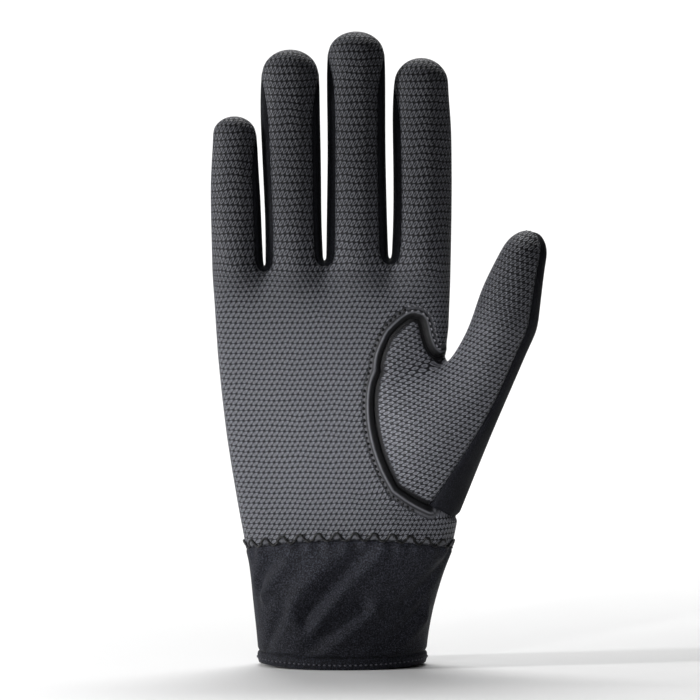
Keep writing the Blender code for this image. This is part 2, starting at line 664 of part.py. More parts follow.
def add_sheet(mesh, points, panel):
    """Adds a grid of quads, one vertex for each point, in the panel's own material slot."""
    rows, columns = points.shape[:2]
    made = bmesh.ops.create_grid(mesh, x_segments=columns - 1, y_segments=rows - 1, size=1.0)
    for vertex in made["verts"]:
        row = round((vertex.co.y + 1.0) / 2.0 * (rows - 1))
        column = round((vertex.co.x + 1.0) / 2.0 * (columns - 1))
        vertex.co = points[row, column]
    for face in {face for vertex in made["verts"] for face in vertex.link_faces}:
        face.material_index = PANEL_NAMES.index(panel)


def thumb_split(sheet):
    """Cuts the thumb's rings into its embossed front and its plain back."""
    first = THUMB_SEAM_STEP
    last = len(HOLE_BOTTOM["angle"]) - 1 + root_columns() + NOTCH_COLUMNS + web_columns()
    rest = np.concatenate((sheet[:, last:], sheet[:, 1:first + 1]), axis=1)
    return sheet[:, first:last + 1], rest


def build_skin():
    """The whole outer surface as one welded mesh, with a material slot for each panel."""
    mesh = bmesh.new()
    left_patch, left_top = front_left_patch()
    high_patch, high_top = front_high_patch()
    rear_patch, rear_top = back_patch()
    for patch, row in ((left_patch, left_top), (high_patch, high_top), (front_low_patch(), None)):
        skin = raise_roll(lift_to_skin(patch, row), patch[..., 0])
        add_sheet(mesh, skin, "palm_panel")
    add_sheet(mesh, lift_to_skin(rear_patch, rear_top), "back_panel")
    for name in FINGER_NAMES:
        add_sheet(mesh, finger_sheet(name, False), "palm_panel")
        add_sheet(mesh, finger_tip(name, False), "palm_panel")
        add_sheet(mesh, finger_sheet(name, True), "back_panel")
        add_sheet(mesh, finger_tip(name, True), "back_panel")
    for left, right in zip(FINGER_NAMES, FINGER_NAMES[1:]):
        add_sheet(mesh, fourchette_sheet(left, right), f"fourchette_{left}_{right}")
    add_sheet(mesh, lift_to_skin(notch_patch()), "thumb_panel")
    thumb_front, thumb_rear = thumb_split(thumb_sheet())
    add_sheet(mesh, thumb_front, "thumb_panel")
    add_sheet(mesh, thumb_rear, "thumb_back")
    add_sheet(mesh, cuff_sheet(CUFF_ROWS, hem_top, seam_height, 0.0), "cuff")
    add_sheet(mesh, cuff_sheet(HEM_ROWS, hem_height, hem_top, HEM_BULGE), "cuff_hem")
    bmesh.ops.remove_doubles(mesh, verts=mesh.verts, dist=WELD)
    bmesh.ops.dissolve_degenerate(mesh, edges=mesh.edges, dist=WELD)
    ease_mouth(mesh)
    bmesh.ops.recalc_face_normals(mesh, faces=mesh.faces)
    return mesh


def ease_mouth(mesh):
    """Smooths the thumb's panel where it comes out of the palm's notch."""
    mouth = Vector(lift_to_skin(notch_patch())[0].mean(axis=0))
    thumb = PANEL_NAMES.index("thumb_panel")
    near = [vertex for vertex in mesh.verts if (vertex.co - mouth).length < MOUTH_REACH
            and all(face.material_index == thumb for face in vertex.link_faces)]
    for _ in range(MOUTH_ROUNDS):
        bmesh.ops.smooth_vert(mesh, verts=near, factor=0.5, use_axis_x=True, use_axis_y=True,
                              use_axis_z=True)


def inward_step(vertex):
    """The way from a panel's border into the panel, so that its edges shift by one step."""
    normals = []
    for edge in vertex.link_edges:
        if edge.is_boundary:
            face = edge.link_faces[0]
            line = (edge.verts[1].co - edge.verts[0].co).normalized()
            side = face.normal.cross(line)
            if side.dot(face.calc_center_median() - edge.verts[0].co) < 0.0:
                side = -side
            normals.append(side)
    total = sum(normals[1:], normals[0]).normalized()
    return total / max(total.dot(normals[0]), CORNER_LIMIT)


def twist(face):
    """How far apart a quad's two diagonals pass: 0 when it is flat."""
    if len(face.verts) != 4:
        return 0.0
    first, second, third, fourth = (vertex.co for vertex in face.verts)
    across = (third - first).cross(fourth - second)
    return abs(across.normalized().dot(second - first))


def build_panel(skin, name, collection):
    """One panel's faces, drawn back from its seams and thickened along the skin's normals."""
    colour, roughness, thickness = PANELS[name]
    panel = skin.copy()
    panel.normal_update()
    way = panel.verts.layers.float_vector.new("way_in")
    for vertex in panel.verts:
        vertex[way] = -vertex.normal * thickness
    others = [face for face in panel.faces if face.material_index != PANEL_NAMES.index(name)]
    bmesh.ops.delete(panel, geom=others, context="FACES")
    seams = [vertex for vertex in panel.verts if vertex.is_boundary]
    steps = {vertex: inward_step(vertex) for vertex in seams}
    for vertex, step in steps.items():
        vertex.co += step * (SEAM_GAP / 2)
    made = bmesh.ops.extrude_face_region(panel, geom=panel.faces[:], use_keep_orig=True)
    inner = {item for item in made["geom"] if isinstance(item, bmesh.types.BMVert)}
    for vertex in inner:
        vertex.co += vertex[way]
    rims = [face for face in panel.faces if 0 < len(inner.intersection(face.verts)) < 4]
    bmesh.ops.poke(panel, faces=[face for face in rims if twist(face) > RIM_TWIST])
    for face in panel.faces:
        face.material_index = 0
        face.smooth = True
    bmesh.ops.recalc_face_normals(panel, faces=panel.faces)
    mesh = bpy.data.meshes.new(name)
    panel.to_mesh(mesh)
    panel.free()
    mesh.materials.append(make_material(name, colour, roughness))
    wall = bpy.data.objects.new(name, mesh)
    collection.objects.link(wall)
    return wall


def make_material(name, colour, roughness):
    material = bpy.data.materials.new(name)
    material.use_nodes = True
    shader = material.node_tree.nodes["Principled BSDF"]
    shader.inputs["Base Color"].default_value = (*colour, 1.0)
    shader.inputs["Roughness"].default_value = roughness
    shader.inputs["Metallic"].default_value = 0.0
    return material


def main():
    for old in list(bpy.data.objects):
        bpy.data.objects.remove(old, do_unlink=True)
    collection = bpy.data.collections.new("athletic_glove")
    bpy.context.scene.collection.children.link(collection)
    skin = build_skin()
    for name in PANEL_NAMES:
        build_panel(skin, name, collection)
    skin.free()


main()
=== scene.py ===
"""The athletic glove dressed for its picture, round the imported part.

Frame: metres, +Z up to the fingertips, -Y out of the palm, +X to the thumb's side.
The panels are the part's own surfaces, worked out from the same tables. They are welded
into one skin and halved three times. The seams' grooves, the folded edge round the thumb's
opening, the gathers and the cuff's folds are then pressed into it, and every panel is cut
out of it as a piece of its own with its wall. The threads are laid on the finished skin.
"""

import bmesh
import bpy
import numpy as np
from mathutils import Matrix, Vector
from mathutils.bvhtree import BVHTree


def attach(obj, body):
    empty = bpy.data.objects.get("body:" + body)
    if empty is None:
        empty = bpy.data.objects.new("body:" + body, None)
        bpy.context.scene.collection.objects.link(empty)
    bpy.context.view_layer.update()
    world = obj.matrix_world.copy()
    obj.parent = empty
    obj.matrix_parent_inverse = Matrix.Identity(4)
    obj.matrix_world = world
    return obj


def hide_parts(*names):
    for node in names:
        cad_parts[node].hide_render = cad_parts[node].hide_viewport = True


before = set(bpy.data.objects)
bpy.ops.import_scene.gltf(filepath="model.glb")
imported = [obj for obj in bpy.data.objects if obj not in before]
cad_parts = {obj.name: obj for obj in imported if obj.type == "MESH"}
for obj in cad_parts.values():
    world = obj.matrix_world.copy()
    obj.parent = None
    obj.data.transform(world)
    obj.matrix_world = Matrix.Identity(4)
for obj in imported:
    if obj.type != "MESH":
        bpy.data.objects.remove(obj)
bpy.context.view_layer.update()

# Driving sizes, in metres
CUFF_LENGTH = 0.0437
HAND_LENGTH = 0.1050
PALM_WIDTH = 0.0890
PALM_DEPTH = 0.0250
LITTLE_LENGTH = 0.0577
RING_LENGTH = 0.0807
MIDDLE_LENGTH = 0.0866
INDEX_LENGTH = 0.0767
THUMB_LENGTH = 0.0570
FINGER_DEPTH = 0.0186
HEM_HEIGHT = 0.0043
HEM_BULGE = 0.0004
HEM_RISE = 0.0014
SEAM_ARCH = 0.0038
CROTCH_RISE = 0.0042
CROTCH_ROUND = 0.0080
KNUCKLE_BLEND = 0.0170
FOURCHETTE_TAPER = 0.0120
PALM_HOLLOW = 0.0014
FOLD_DEPTH = 0.0024
WELD = 0.000001

# Angles round the hand and the fingers, in degrees
SIDE_ANGLE = 110.0
FOURCHETTE_ANGLE = 40.0
OUTER_WRAP = 20.0
TIP_SEAM_ANGLE = 104.0

# Powers in the formulas of the hand's oval, the fingers' slide, the strips and the folds
OVAL_POWER = 0.8
SLIDE_POWER = 4.0
TAPER_POWER = 0.7
FOLD_FADE_POWER = 0.5

# Grid counts
LOW_ROWS = 4
HOLE_ROWS = 8
HIGH_ROWS = 6
CROTCH_ROWS = 3
FRONT_TIP_ROWS = 4
BACK_TIP_ROWS = 3
FOURCHETTE_COLUMNS = 4
CUFF_ROWS = 8
HEM_ROWS = 3
THUMB_TIP_ROWS = 4

# The panels, each with the name of its finish
PANEL_FINISHES = {
    "palm_panel": "palm_leather",
    "back_panel": "back_knit",
    "fourchette_little_ring": "side_strip_knit",
    "fourchette_ring_middle": "side_strip_knit",
    "fourchette_middle_index": "side_strip_knit",
    "thumb_panel": "thumb_leather",
    "thumb_back": "side_strip_knit",
    "cuff": "cuff_stretch_cloth",
    "cuff_hem": "cuff_stretch_cloth",
}
PANEL_NAMES = list(PANEL_FINISHES)
STRIPS = [name for name in PANEL_NAMES if name.startswith("fourchette")]


def table(columns, rows):
    """A table with a row for each section and a named column for each measure."""
    return dict(zip(columns.split(), np.array(rows, dtype=float).T))


# Heights as shares of CUFF_LENGTH, edges of PALM_WIDTH and depths of PALM_DEPTH
CUFF_SECTIONS = table("height left right front back", (
    (0.00, -0.353, 0.351, 0.900, 0.900),
    (0.18, -0.358, 0.356, 0.888, 0.888),
    (0.41, -0.370, 0.374, 0.864, 0.864),
    (0.57, -0.379, 0.394, 0.840, 0.840),
    (0.75, -0.387, 0.420, 0.820, 0.820),
    (0.90, -0.398, 0.448, 0.802, 0.800),
))

# Heights as shares of HAND_LENGTH, edges of PALM_WIDTH and depths of PALM_DEPTH
HAND_SECTIONS = table("height left right front back", (
    (0.00, -0.406, 0.463, 0.786, 0.784),
    (0.11, -0.433, 0.494, 0.732, 0.712),
    (0.25, -0.461, 0.504, 0.680, 0.640),
    (0.39, -0.487, 0.490, 0.636, 0.584),
    (0.54, -0.508, 0.466, 0.600, 0.552),
    (0.68, -0.525, 0.449, 0.568, 0.524),
    (0.87, -0.540, 0.449, 0.532, 0.500),
    (1.00, -0.548, 0.452, 0.504, 0.480),
))

# Heights as shares of the finger's straight stretch, edges of PALM_WIDTH
FINGER_EDGES = {
    "little": table("height left right", (
        (0.00, -0.549, -0.329), (0.31, -0.553, -0.337), (0.53, -0.556, -0.341),
        (0.75, -0.554, -0.350), (1.00, -0.546, -0.357))),
    "ring": table("height left right", (
        (0.00, -0.326, -0.079), (0.20, -0.325, -0.088), (0.51, -0.337, -0.088),
        (0.82, -0.348, -0.094), (1.00, -0.342, -0.097))),
    "middle": table("height left right", (
        (0.00, -0.073, 0.193), (0.17, -0.071, 0.187), (0.56, -0.066, 0.179),
        (0.85, -0.070, 0.179), (1.00, -0.067, 0.176))),
    "index": table("height left right", (
        (0.00, 0.199, 0.452), (0.20, 0.207, 0.455), (0.50, 0.208, 0.457),
        (0.81, 0.203, 0.453), (1.00, 0.209, 0.442))),
}
FINGERS = {
    "little": dict(length=LITTLE_LENGTH, tip=0.446, slim=0.86, front=6, back=6, rows=4),
    "ring": dict(length=RING_LENGTH, tip=0.459, slim=0.98, front=6, back=6, rows=5),
    "middle": dict(length=MIDDLE_LENGTH, tip=0.430, slim=1.00, front=6, back=6, rows=6),
    "index": dict(length=INDEX_LENGTH, tip=0.507, slim=0.98, front=8, back=8, rows=5),
}
FINGER_NAMES = list(FINGERS)
INDEX_BORDER = FINGER_NAMES.index("index")

# Half depths as shares of FINGER_DEPTH, the lean to the palm of PALM_DEPTH
FINGER_PROFILE = table("height depth lean", (
    (0.00, 0.660, 0.000), (0.08, 0.636, 0.001), (0.22, 0.580, 0.006), (0.42, 0.530, 0.020),
    (0.68, 0.490, 0.048), (1.00, 0.430, 0.100)))
SLIM_FROM = 0.2

# The line between two fingers: its place as a share of PALM_WIDTH, height of HAND_LENGTH
BORDERS = table("across height", (
    (-0.549, 0.979), (-0.328, 0.979), (-0.0775, 0.997), (0.1955, 1.004), (0.452, 1.004)))

# Edge of the thumb's opening in the palm: angles in degrees, heights of HAND_LENGTH
HOLE_BOTTOM = table("angle height", (
    (23.6, 0.211), (32.0, 0.172), (44.0, 0.138), (62.0, 0.112), (88.0, 0.108),
    (110.0, 0.108)))
HOLE_LEFT = table("angle height", (
    (23.6, 0.211), (19.4, 0.262), (16.9, 0.324), (15.1, 0.398), (15.1, 0.479),
    (16.8, 0.563), (19.6, 0.630), (23.6, 0.697), (28.9, 0.757)))
HOLE_TOP = table("angle height", (
    (28.9, 0.757), (37.0, 0.802), (48.3, 0.835), (49.9, 0.782), (52.2, 0.722),
    (56.8, 0.683), (65.3, 0.659), (84.0, 0.676), (110.0, 0.700)))
NOTCH_POINT = 2
NOTCH_ROWS = 4
NOTCH_COLUMNS = 4
NOTCH_SAG = 0.020
HOLE_FOOT_ANGLE = 22.4

# The palm's hollow: half width as a share of PALM_WIDTH, the others of HAND_LENGTH
HOLLOW = dict(half_width=0.28, height=0.55, half_length=0.30)

# Places of the lines along the hand, as shares of each stretch
LOW_SHARES = (0.00, 0.42, 0.78, 0.90, 1.00)
HIGH_SHARES = (0.00, 0.085, 0.17, 0.34, 0.55, 0.78, 1.00)

# Places of the columns across the front, left of the thumb's opening, and across the back
FRONT_LOW_SHARES = (
    0.000, 0.078, 0.156, 0.234, 0.312, 0.390, 0.450,
    0.505, 0.560, 0.615, 0.670, 0.725, 0.780,
    0.830, 0.880, 0.925, 0.956, 0.980, 1.000)
FRONT_TOP_SHARES = (
    0.000, 0.090, 0.180, 0.270, 0.360, 0.450, 0.540,
    0.578, 0.615, 0.653, 0.690, 0.728, 0.765,
    0.804, 0.843, 0.883, 0.922, 0.961, 1.000)
BACK_BREAKS = (0.0, 0.25, 0.475, 0.708, 1.0)

# Thumb sections from the web: ends as shares of THUMB_LENGTH, depth and lean of PALM_DEPTH
THUMB_SECTIONS = table("left_x left_z right_x right_z lean depth", (
    (0.006, -0.020, 0.377, -0.266, -0.180, 0.500),
    (0.065, 0.104, 0.455, -0.084, -0.210, 0.490),
    (0.123, 0.195, 0.526, 0.084, -0.240, 0.478),
    (0.156, 0.292, 0.578, 0.188, -0.260, 0.464),
    (0.195, 0.416, 0.591, 0.312, -0.272, 0.440),
    (0.240, 0.526, 0.604, 0.429, -0.280, 0.416),
    (0.325, 0.689, 0.624, 0.604, -0.288, 0.360)))
THUMB_TIP = dict(x=0.546, z=0.838, lean=-0.22)
WEB = dict(across=0.441, height=0.666)

# Round the thumb: 0 faces away from the palm's middle, 90 to the front
THUMB_BOTTOM_ANGLES = (-20.0, 2.0, 23.0, 44.0, 57.0, 70.0)
THUMB_LEFT_END = 146.0
THUMB_NOTCH_END = 182.0
THUMB_TOP_END = 204.0
THUMB_SEAM_STEP = 3
THUMB_ROOT_SHARES = (0.00, 0.15, 0.33, 0.54, 0.77, 1.00)
THUMB_LIFT = 0.45
THUMB_PULL = 0.9

# Cuff folds: where each starts and ends, heights as shares of CUFF_LENGTH
CUFF_FOLDS = table("angle_from height_from angle_to height_to depth", (
    (-26.0, 0.42, 8.0, 0.98, 1.00),
    (-16.0, 0.40, 16.0, 0.94, -0.65),
    (-38.0, 0.50, -6.0, 1.00, -0.60),
    (-28.0, 0.10, 10.0, 0.52, 0.85),
    (-18.0, 0.06, 20.0, 0.48, -0.65),
    (-68.0, 0.70, -46.0, 0.96, 0.90),
    (-60.0, 0.62, -38.0, 0.88, -0.60),
    (-62.0, 0.16, -40.0, 0.52, 0.60),
    (22.0, 0.14, 60.0, 0.50, 0.75),
    (30.0, 0.08, 68.0, 0.42, -0.50),
    (40.0, 0.55, 78.0, 0.92, 0.70),
    (150.0, 0.30, 205.0, 0.80, 0.80),
    (215.0, 0.25, 250.0, 0.70, 0.70)))
FOLD_WIDTH = 0.0033

# The cloth's maps: tilt of the thumb's rows in degrees, and where rows start to unroll
THUMB_ROWS_TILT = -20.0
UNROLL_ROWS = 8
PATTERN_FADE = 0.020

# Walls of the cloth, and how often its cells are halved
WALL = 0.0011
HEM_WALL = 0.0020
HALVINGS = 3

# Easing of the skin at the thumb's foot: rounds, reach and the width of its fade
MOUTH_ROUNDS = 8
MOUTH_REACH = 0.0180
MOUTH_SOFT = 0.0090
MOUTH_STEPS = 9
EASE_ROUNDS = 60
EASE_REACH = 0.0110
EASE_SOFT = 0.0080

# Grooves of the seams: depths, widths, and how shallow they get at the fingertips
SEAM_GROOVE = 0.0009
SEAM_WIDTH = 0.0011
CUFF_GROOVE = 0.0007
CUFF_GROOVE_WIDTH = 0.0010
HEM_GROOVE = 0.0005
HEM_GROOVE_WIDTH = 0.0006
GROOVE_REACH = 4
GROOVE_FADE = 0.016
GROOVE_TIP_SHARE = 0.30

# The distance given to points out of a seam's reach
FAR = 1.0

# The opening's folded edge: depths and distances from its seam, with the smooth band of painted
# shade beside it and the painted highlight on its ridge and outer part
OPENING_REACH = 0.009
EDGE_SINK = 0.0012
THUMB_SINK_WIDTH = 0.0022
EDGE_CREST = 0.0005
EDGE_CREST_AT = 0.0023
EDGE_CREST_WIDTH = 0.0007
STITCH_LINE_AT = 0.0040
STITCH_LINE_DEPTH = 0.00020
STITCH_LINE_WIDTH = 0.0007
EDGE_BAND = 0.0047
THUMB_BAND = 0.0017
BAND_FADE = 0.0006
BAND_FROM = 0.0030
BAND_PAINTED_HIGHLIGHT = 0.60
CREST_HIGHLIGHT_WIDTH = 0.00036
EDGE_END_ANGLE = 92.0
EDGE_END_FADE = 18.0

# Gathers and puffs along the cuff's seam, with the size and strength of the painted highlight on
# the puffs
CUFF_SEAM_REACH = 0.014
GATHER_PITCH = 0.0069
GATHER_DEPTH = 0.00045
GATHER_REACH = 0.0045
GATHER_ABOVE = 0.3
PUFF_HEIGHT = 0.00070
PUFF_SIZE = 0.0010
PUFF_AT = 0.0012
PUFF_HIGHLIGHT_SIZE = 0.0007
PUFF_PAINTED_HIGHLIGHT = 2.2

# Stitches: their pitch, the share of it that shows, the thread's radius and its rise
EDGE_STITCH = dict(pitch=0.0022, share=0.64, radius=0.00060, lift=0.00032)
TONGUE_STITCH = dict(pitch=0.0022, share=0.64, radius=0.00036, lift=0.00032)
HEM_STITCH = dict(pitch=0.0019, share=0.55, radius=0.00030, lift=0.00012)
SEAM_STITCH = dict(pitch=0.0018, share=0.62, radius=0.00022, lift=0.00008)
STITCH_RINGS = 7
STITCH_SIDES = 6
THREAD_SIDES = 8

# Rows beside the opening: distance from its seam, and start and end as shares of its length
OUTER_ROW_SHIFT = 0.0008
OPENING_ROWS = {
    "opening_stitches": dict(
        distance=STITCH_LINE_AT, first=0.05, last=0.74, stitch=EDGE_STITCH, thread="black_thread"),
    "tongue_stitches": dict(
        distance=0.0028, first=0.72, last=0.92, stitch=TONGUE_STITCH, thread="light_thread"),
    "tongue_outer_stitches": dict(
        distance=STITCH_LINE_AT + OUTER_ROW_SHIFT, first=0.74, last=0.92, stitch=TONGUE_STITCH,
        thread="light_thread"),
}
LINE_STEP = 0.0012
LINE_HALF_WIDTH = 0.0005
HEM_STITCH_RISE = 0.0018
HEM_RING_POINTS = 720
STRIP_STITCH_SHIFT = {"front": -0.0009, "back": 0.0009}
STRIP_BARE_ROWS = 2
THUMB_STITCH_SHIFT = (-0.0008, -0.0004, 0.0)
THUMB_SEAM_SKIP = 3

# The zigzag thread over the cuff's seam
ZIGZAG_RISE = 0.0012
ZIGZAG_MIDDLE = 0.0010
ZIGZAG_STEPS = 24
ZIGZAG_RADIUS = 0.00048
ZIGZAG_LIFT = ZIGZAG_RADIUS / 3

# Colours
# The leather's two colours: painted shade for the grains' creases and hollows, and a painted
# highlight for their rims
LEATHER_PAINTED_SHADE = (0.0050, 0.0052, 0.0072, 1.0)
LEATHER_PAINTED_HIGHLIGHT = (0.125, 0.128, 0.146, 1.0)
# Painted shade for the smooth band along the opening's folded edge, and a painted highlight for
# its ridge and for the cuff seam's puffs
PAINTED_SHADE_COLOUR = (0.0016, 0.0016, 0.0024, 1.0)
PAINTED_HIGHLIGHT_COLOUR = (0.090, 0.092, 0.104, 1.0)
CLOTH_DARK = (0.0026, 0.0027, 0.0042, 1.0)
CLOTH_LIGHT = (0.022, 0.024, 0.032, 1.0)
CUFF_LIGHT = (0.062, 0.066, 0.088, 1.0)
PAPER_DARK = (0.84, 0.84, 0.84, 1.0)
PAPER_LIGHT = (0.88, 0.88, 0.88, 1.0)
THREADS = {
    "black_thread": (0.0016, 0.0016, 0.0022, 1.0),
    "hem_thread": (0.10, 0.10, 0.12, 1.0),
    "dark_thread": (0.040, 0.042, 0.050, 1.0),
    "light_thread": (0.16, 0.16, 0.18, 1.0),
}

# The leather's embossing: cells in metres, taller above a height on the cloth
LEATHERS = {
    "palm_leather": dict(cell_width=0.0019, cell_height=0.0019, upper_height=0.0027),
    "thumb_leather": dict(cell_width=0.0019, cell_height=0.0019, upper_height=0.0024),
}
CELL_CHANGE_AT = 0.146
CELL_CHANGE_SPAN = 0.012

# One grain in its cell: half sizes, slant, and from where to where its rim and hollow run
GRAIN_HALF_WIDTH = 0.44
GRAIN_HALF_HEIGHT = 0.48
GRAIN_SLANT = -0.85
GRAIN_RIM = (1.10, 0.76)
GRAIN_HOLLOW = (0.60, 0.22)
HOLLOW_DEPTHS = (0.42, 0.85)
CELL_SHIFT = 0.5
SWAY_SCALE = 90.0
ROW_SWAY = 0.9
CELL_SWAY = 0.6
PORE_SCALE = 4200.0
PORE_DETAIL = 3.0
PORE_HEIGHT = 0.22
PORE_GLOSS = 0.3
LEATHER_GLOSS = dict(low=0.0, high=1.2, to_low=0.62, to_high=0.40)
LEATHER_BUMP = 0.00045

# The knits: pitch of their threads, roughness and sheen
KNITS = {
    "back_knit": dict(light=CLOTH_LIGHT, thread=0.0007, roughness=0.80, sheen=0.03),
    "side_strip_knit": dict(light=CLOTH_LIGHT, thread=0.0006, roughness=0.75, sheen=0.0),
    "cuff_stretch_cloth": dict(light=CUFF_LIGHT, thread=0.0005, roughness=0.66, sheen=0.05),
}
SPECKLE_SCALE = 2000.0
CLOUD_SCALE = 60.0
CLOUD_RANGE = (0.3, 0.7)
ROUGHNESS_SWING = 0.06
KNIT_COLOUR_SHARE = 0.25
KNIT_COLOUR_RANGE = (0.42, 0.95)
KNIT_RELIEF_SHARE = 0.5
KNIT_BUMP = dict(distance=0.00010, strength=0.6)

# The threads' fibres and the floor's paper
FIBRE_SCALE = 5000.0
FIBRE_DETAIL = 3.0
FIBRE_SHADE = 0.5
FIBRE_BUMP = dict(distance=0.00008, strength=0.7)
PAPER_SCALE = 3.0

# Sockets of the mix node for colours
MIX_FIRST = 6
MIX_SECOND = 7
MIX_RESULT = 2

# The camera: lens and sensor in millimetres, tilt in degrees
LENS = 200.0
SENSOR = 36.0
PICTURE_WIDTH = 0.260
CAMERA_AIM = (0.0026, 0.0, 0.1170)
CAMERA_TILT = 1.0

# The studio: a floor that curves up into a wall, and its lamps, each with its place, aim,
# width and height, power in watts and spread in degrees
FLOOR_HALF_WIDTH = 0.7
FLOOR_COLUMNS = 3
FLOOR_ROWS = 60
FLOOR_PROFILE = table("share away rise", (
    (0.00, -0.9, 0.0), (0.45, 1.6, 0.0), (0.60, 2.2, 0.6), (1.00, 2.2, 3.2)))
AIR_LIGHT = 0.035
GLOVE_MIDDLE = (0.0, 0.0, 0.10)
LAMPS = (
    ("front_box", (-0.34, -0.72, 0.20), (0.014, 0.0, 0.088), (0.08, 0.08), 0.041, 10.5),
    ("front_left_box", (-0.50, -0.60, 0.15), (0.012, 0.0, 0.080), (0.08, 0.08), 0.010, 12.0),
    ("finger_box", (-0.70, -0.20, 0.28), (0.0, 0.0, 0.17), (0.06, 0.40), 2.0, 120.0),
    ("left_box", (-0.70, -0.05, 0.20), GLOVE_MIDDLE, (0.12, 0.80), 0.6, 180.0),
    ("left_rim_box", (-0.60, 0.30, 0.20), GLOVE_MIDDLE, (0.12, 0.80), 1.0, 180.0),
    ("floor_box", (0.0, -0.55, 0.60), (0.0, -0.40, 0.0), (0.8, 0.3), 0.65, 60.0),
    ("wall_wash", (0.0, 0.8, 1.9), (0.0, 2.2, 0.4), (1.2, 0.5), 29.0, 180.0),
    ("floor_wash", (0.0, 0.9, 1.4), (0.0, 0.8, 0.0), (1.0, 0.8), 15.0, 180.0))

LOW_END = LOW_ROWS
HOLE_END = LOW_ROWS + HOLE_ROWS
HAND_ROWS = LOW_ROWS + HOLE_ROWS + HIGH_ROWS


def smooth(share):
    """An ease from 0 to 1 that starts and ends level: 3 t^2 - 2 t^3."""
    share = np.clip(share, 0.0, 1.0)
    return share * share * (3.0 - 2.0 * share)


def bell(distance, width):
    """A soft bump over a distance: exp(-(d / w)^2)."""
    return np.exp(-(distance / width) ** 2)


def mix(first, second, share):
    """The value that lies at a share of the way from the first to the second."""
    return first + (second - first) * share


def along(points, count):
    """Spreads count steps evenly along a line of (angle, height) rows on the hand."""
    steps = np.linalg.norm(np.diff(body_point(points[:, 0], points[:, 1]), axis=0), axis=1)
    reach = np.concatenate(((0.0,), np.cumsum(steps)))
    wanted = np.linspace(0.0, reach[-1], count + 1)
    return np.stack([np.interp(wanted, reach, column) for column in points.T], axis=-1)


def hand_height(share):
    """The height of a share of the hand's length above the cuff."""
    return CUFF_LENGTH + HAND_LENGTH * np.asarray(share, dtype=float)


BODY_HEIGHTS = np.concatenate(
    (CUFF_LENGTH * CUFF_SECTIONS["height"], hand_height(HAND_SECTIONS["height"])))
BODY_COLUMNS = {
    name: np.concatenate((CUFF_SECTIONS[name], HAND_SECTIONS[name]))
    for name in ("left", "right", "front", "back")}


def body_size(name, height, unit):
    """A measure of the hand's section at a height, in lengths of its unit."""
    return unit * np.interp(height, BODY_HEIGHTS, BODY_COLUMNS[name])


def body_point(angle, height):
    """The hand's oval, x = c + a sin t and y = -b |cos t|^p sign(cos t), with the palm's
    hollow: t = 0 is the palm's middle, 90 degrees the thumb's side and 180 the back."""
    angle, height = np.broadcast_arrays(np.asarray(angle, float), np.asarray(height, float))
    left = body_size("left", height, PALM_WIDTH)
    right = body_size("right", height, PALM_WIDTH)
    turn = np.radians(angle)
    facing = np.cos(turn)
    depth = np.where(facing > 0.0, body_size("front", height, PALM_DEPTH),
                     body_size("back", height, PALM_DEPTH))
    x = (left + right) / 2 + (right - left) / 2 * np.sin(turn)
    y = -depth * np.sign(facing) * np.abs(facing) ** OVAL_POWER
    hollow_x = x / (HOLLOW["half_width"] * PALM_WIDTH)
    hollow_z = (height - hand_height(HOLLOW["height"])) / (HOLLOW["half_length"] * HAND_LENGTH)
    y = y + PALM_HOLLOW * np.exp(-hollow_x ** 2 - hollow_z ** 2) * (facing > 0.0)
    return np.stack((x, y, height), axis=-1)


def seam_height(angle):
    """The cuff's seam rises as an arch over the middle of the palm and of the back."""
    return CUFF_LENGTH + SEAM_ARCH * np.cos(np.radians(angle)) ** 2


def hem_height(angle):
    """The hem's lower edge is lowest at the front and back and rises at the sides."""
    return HEM_RISE * np.sin(np.radians(angle)) ** 2


def finger_frame(name, height):
    """Middle, half width, half depth and lean of a finger at a height above its root."""
    finger, edges = FINGERS[name], FINGER_EDGES[name]
    share = (height - finger_root(name)) / (dome_height(name) - finger_root(name))
    left = PALM_WIDTH * np.interp(share, edges["height"], edges["left"])
    right = PALM_WIDTH * np.interp(share, edges["height"], edges["right"])
    slim = mix(1.0, finger["slim"], smooth(share / SLIM_FROM))
    depth = FINGER_DEPTH * np.interp(share, FINGER_PROFILE["height"], FINGER_PROFILE["depth"])
    lean = -PALM_DEPTH * np.interp(share, FINGER_PROFILE["height"], FINGER_PROFILE["lean"])
    return (left + right) / 2, (right - left) / 2, depth * slim, lean


def finger_root(name):
    """The higher of a finger's two crotches, above which it is free on both sides."""
    place = FINGER_NAMES.index(name)
    return hand_height(BORDERS["height"][place:place + 2].max())


def tip_rise(name):
    """How high a fingertip's dome is."""
    edges = FINGER_EDGES[name]
    return FINGERS[name]["tip"] * PALM_WIDTH * (edges["right"][-1] - edges["left"][-1])


def dome_height(name):
    """The height at which a finger's dome starts."""
    return finger_root(name) + FINGERS[name]["length"] - tip_rise(name)


def seam_rows(name, border):
    """Heights along a finger's seam, from the crotch up, and how far each slides to it."""
    bend = np.radians(np.linspace(90.0, 0.0, CROTCH_ROWS + 1))
    crotch = hand_height(BORDERS["height"][border])
    heights = crotch + CROTCH_RISE * (1.0 - np.sin(bend))
    straight = np.linspace(heights[-1], dome_height(name), FINGERS[name]["rows"] + 1)
    slide = np.concatenate((1.0 - np.cos(bend), np.zeros(FINGERS[name]["rows"])))
    turn = np.concatenate((bend, np.zeros(FINGERS[name]["rows"])))
    return np.concatenate((heights, straight[1:])), slide, turn


def side_opening(name, height, widest):
    """Half angle of a side strip: full on the finger and closing to a point at the tip."""
    share = np.clip((dome_height(name) - height) / FOURCHETTE_TAPER, 0.0, 1.0)
    return widest * np.sin(np.pi / 2 * share) ** TAPER_POWER


def finger_side(name, on_right):
    """Which border a side of a finger is on, and whether it is an outer side of the hand."""
    place = FINGER_NAMES.index(name)
    border = place + 1 if on_right else place
    return border, border in (0, len(FINGER_NAMES))


def side_angle(outer):
    """The half angle of a finger's side: the strip's, or less than none where it wraps."""
    return -OUTER_WRAP if outer else FOURCHETTE_ANGLE


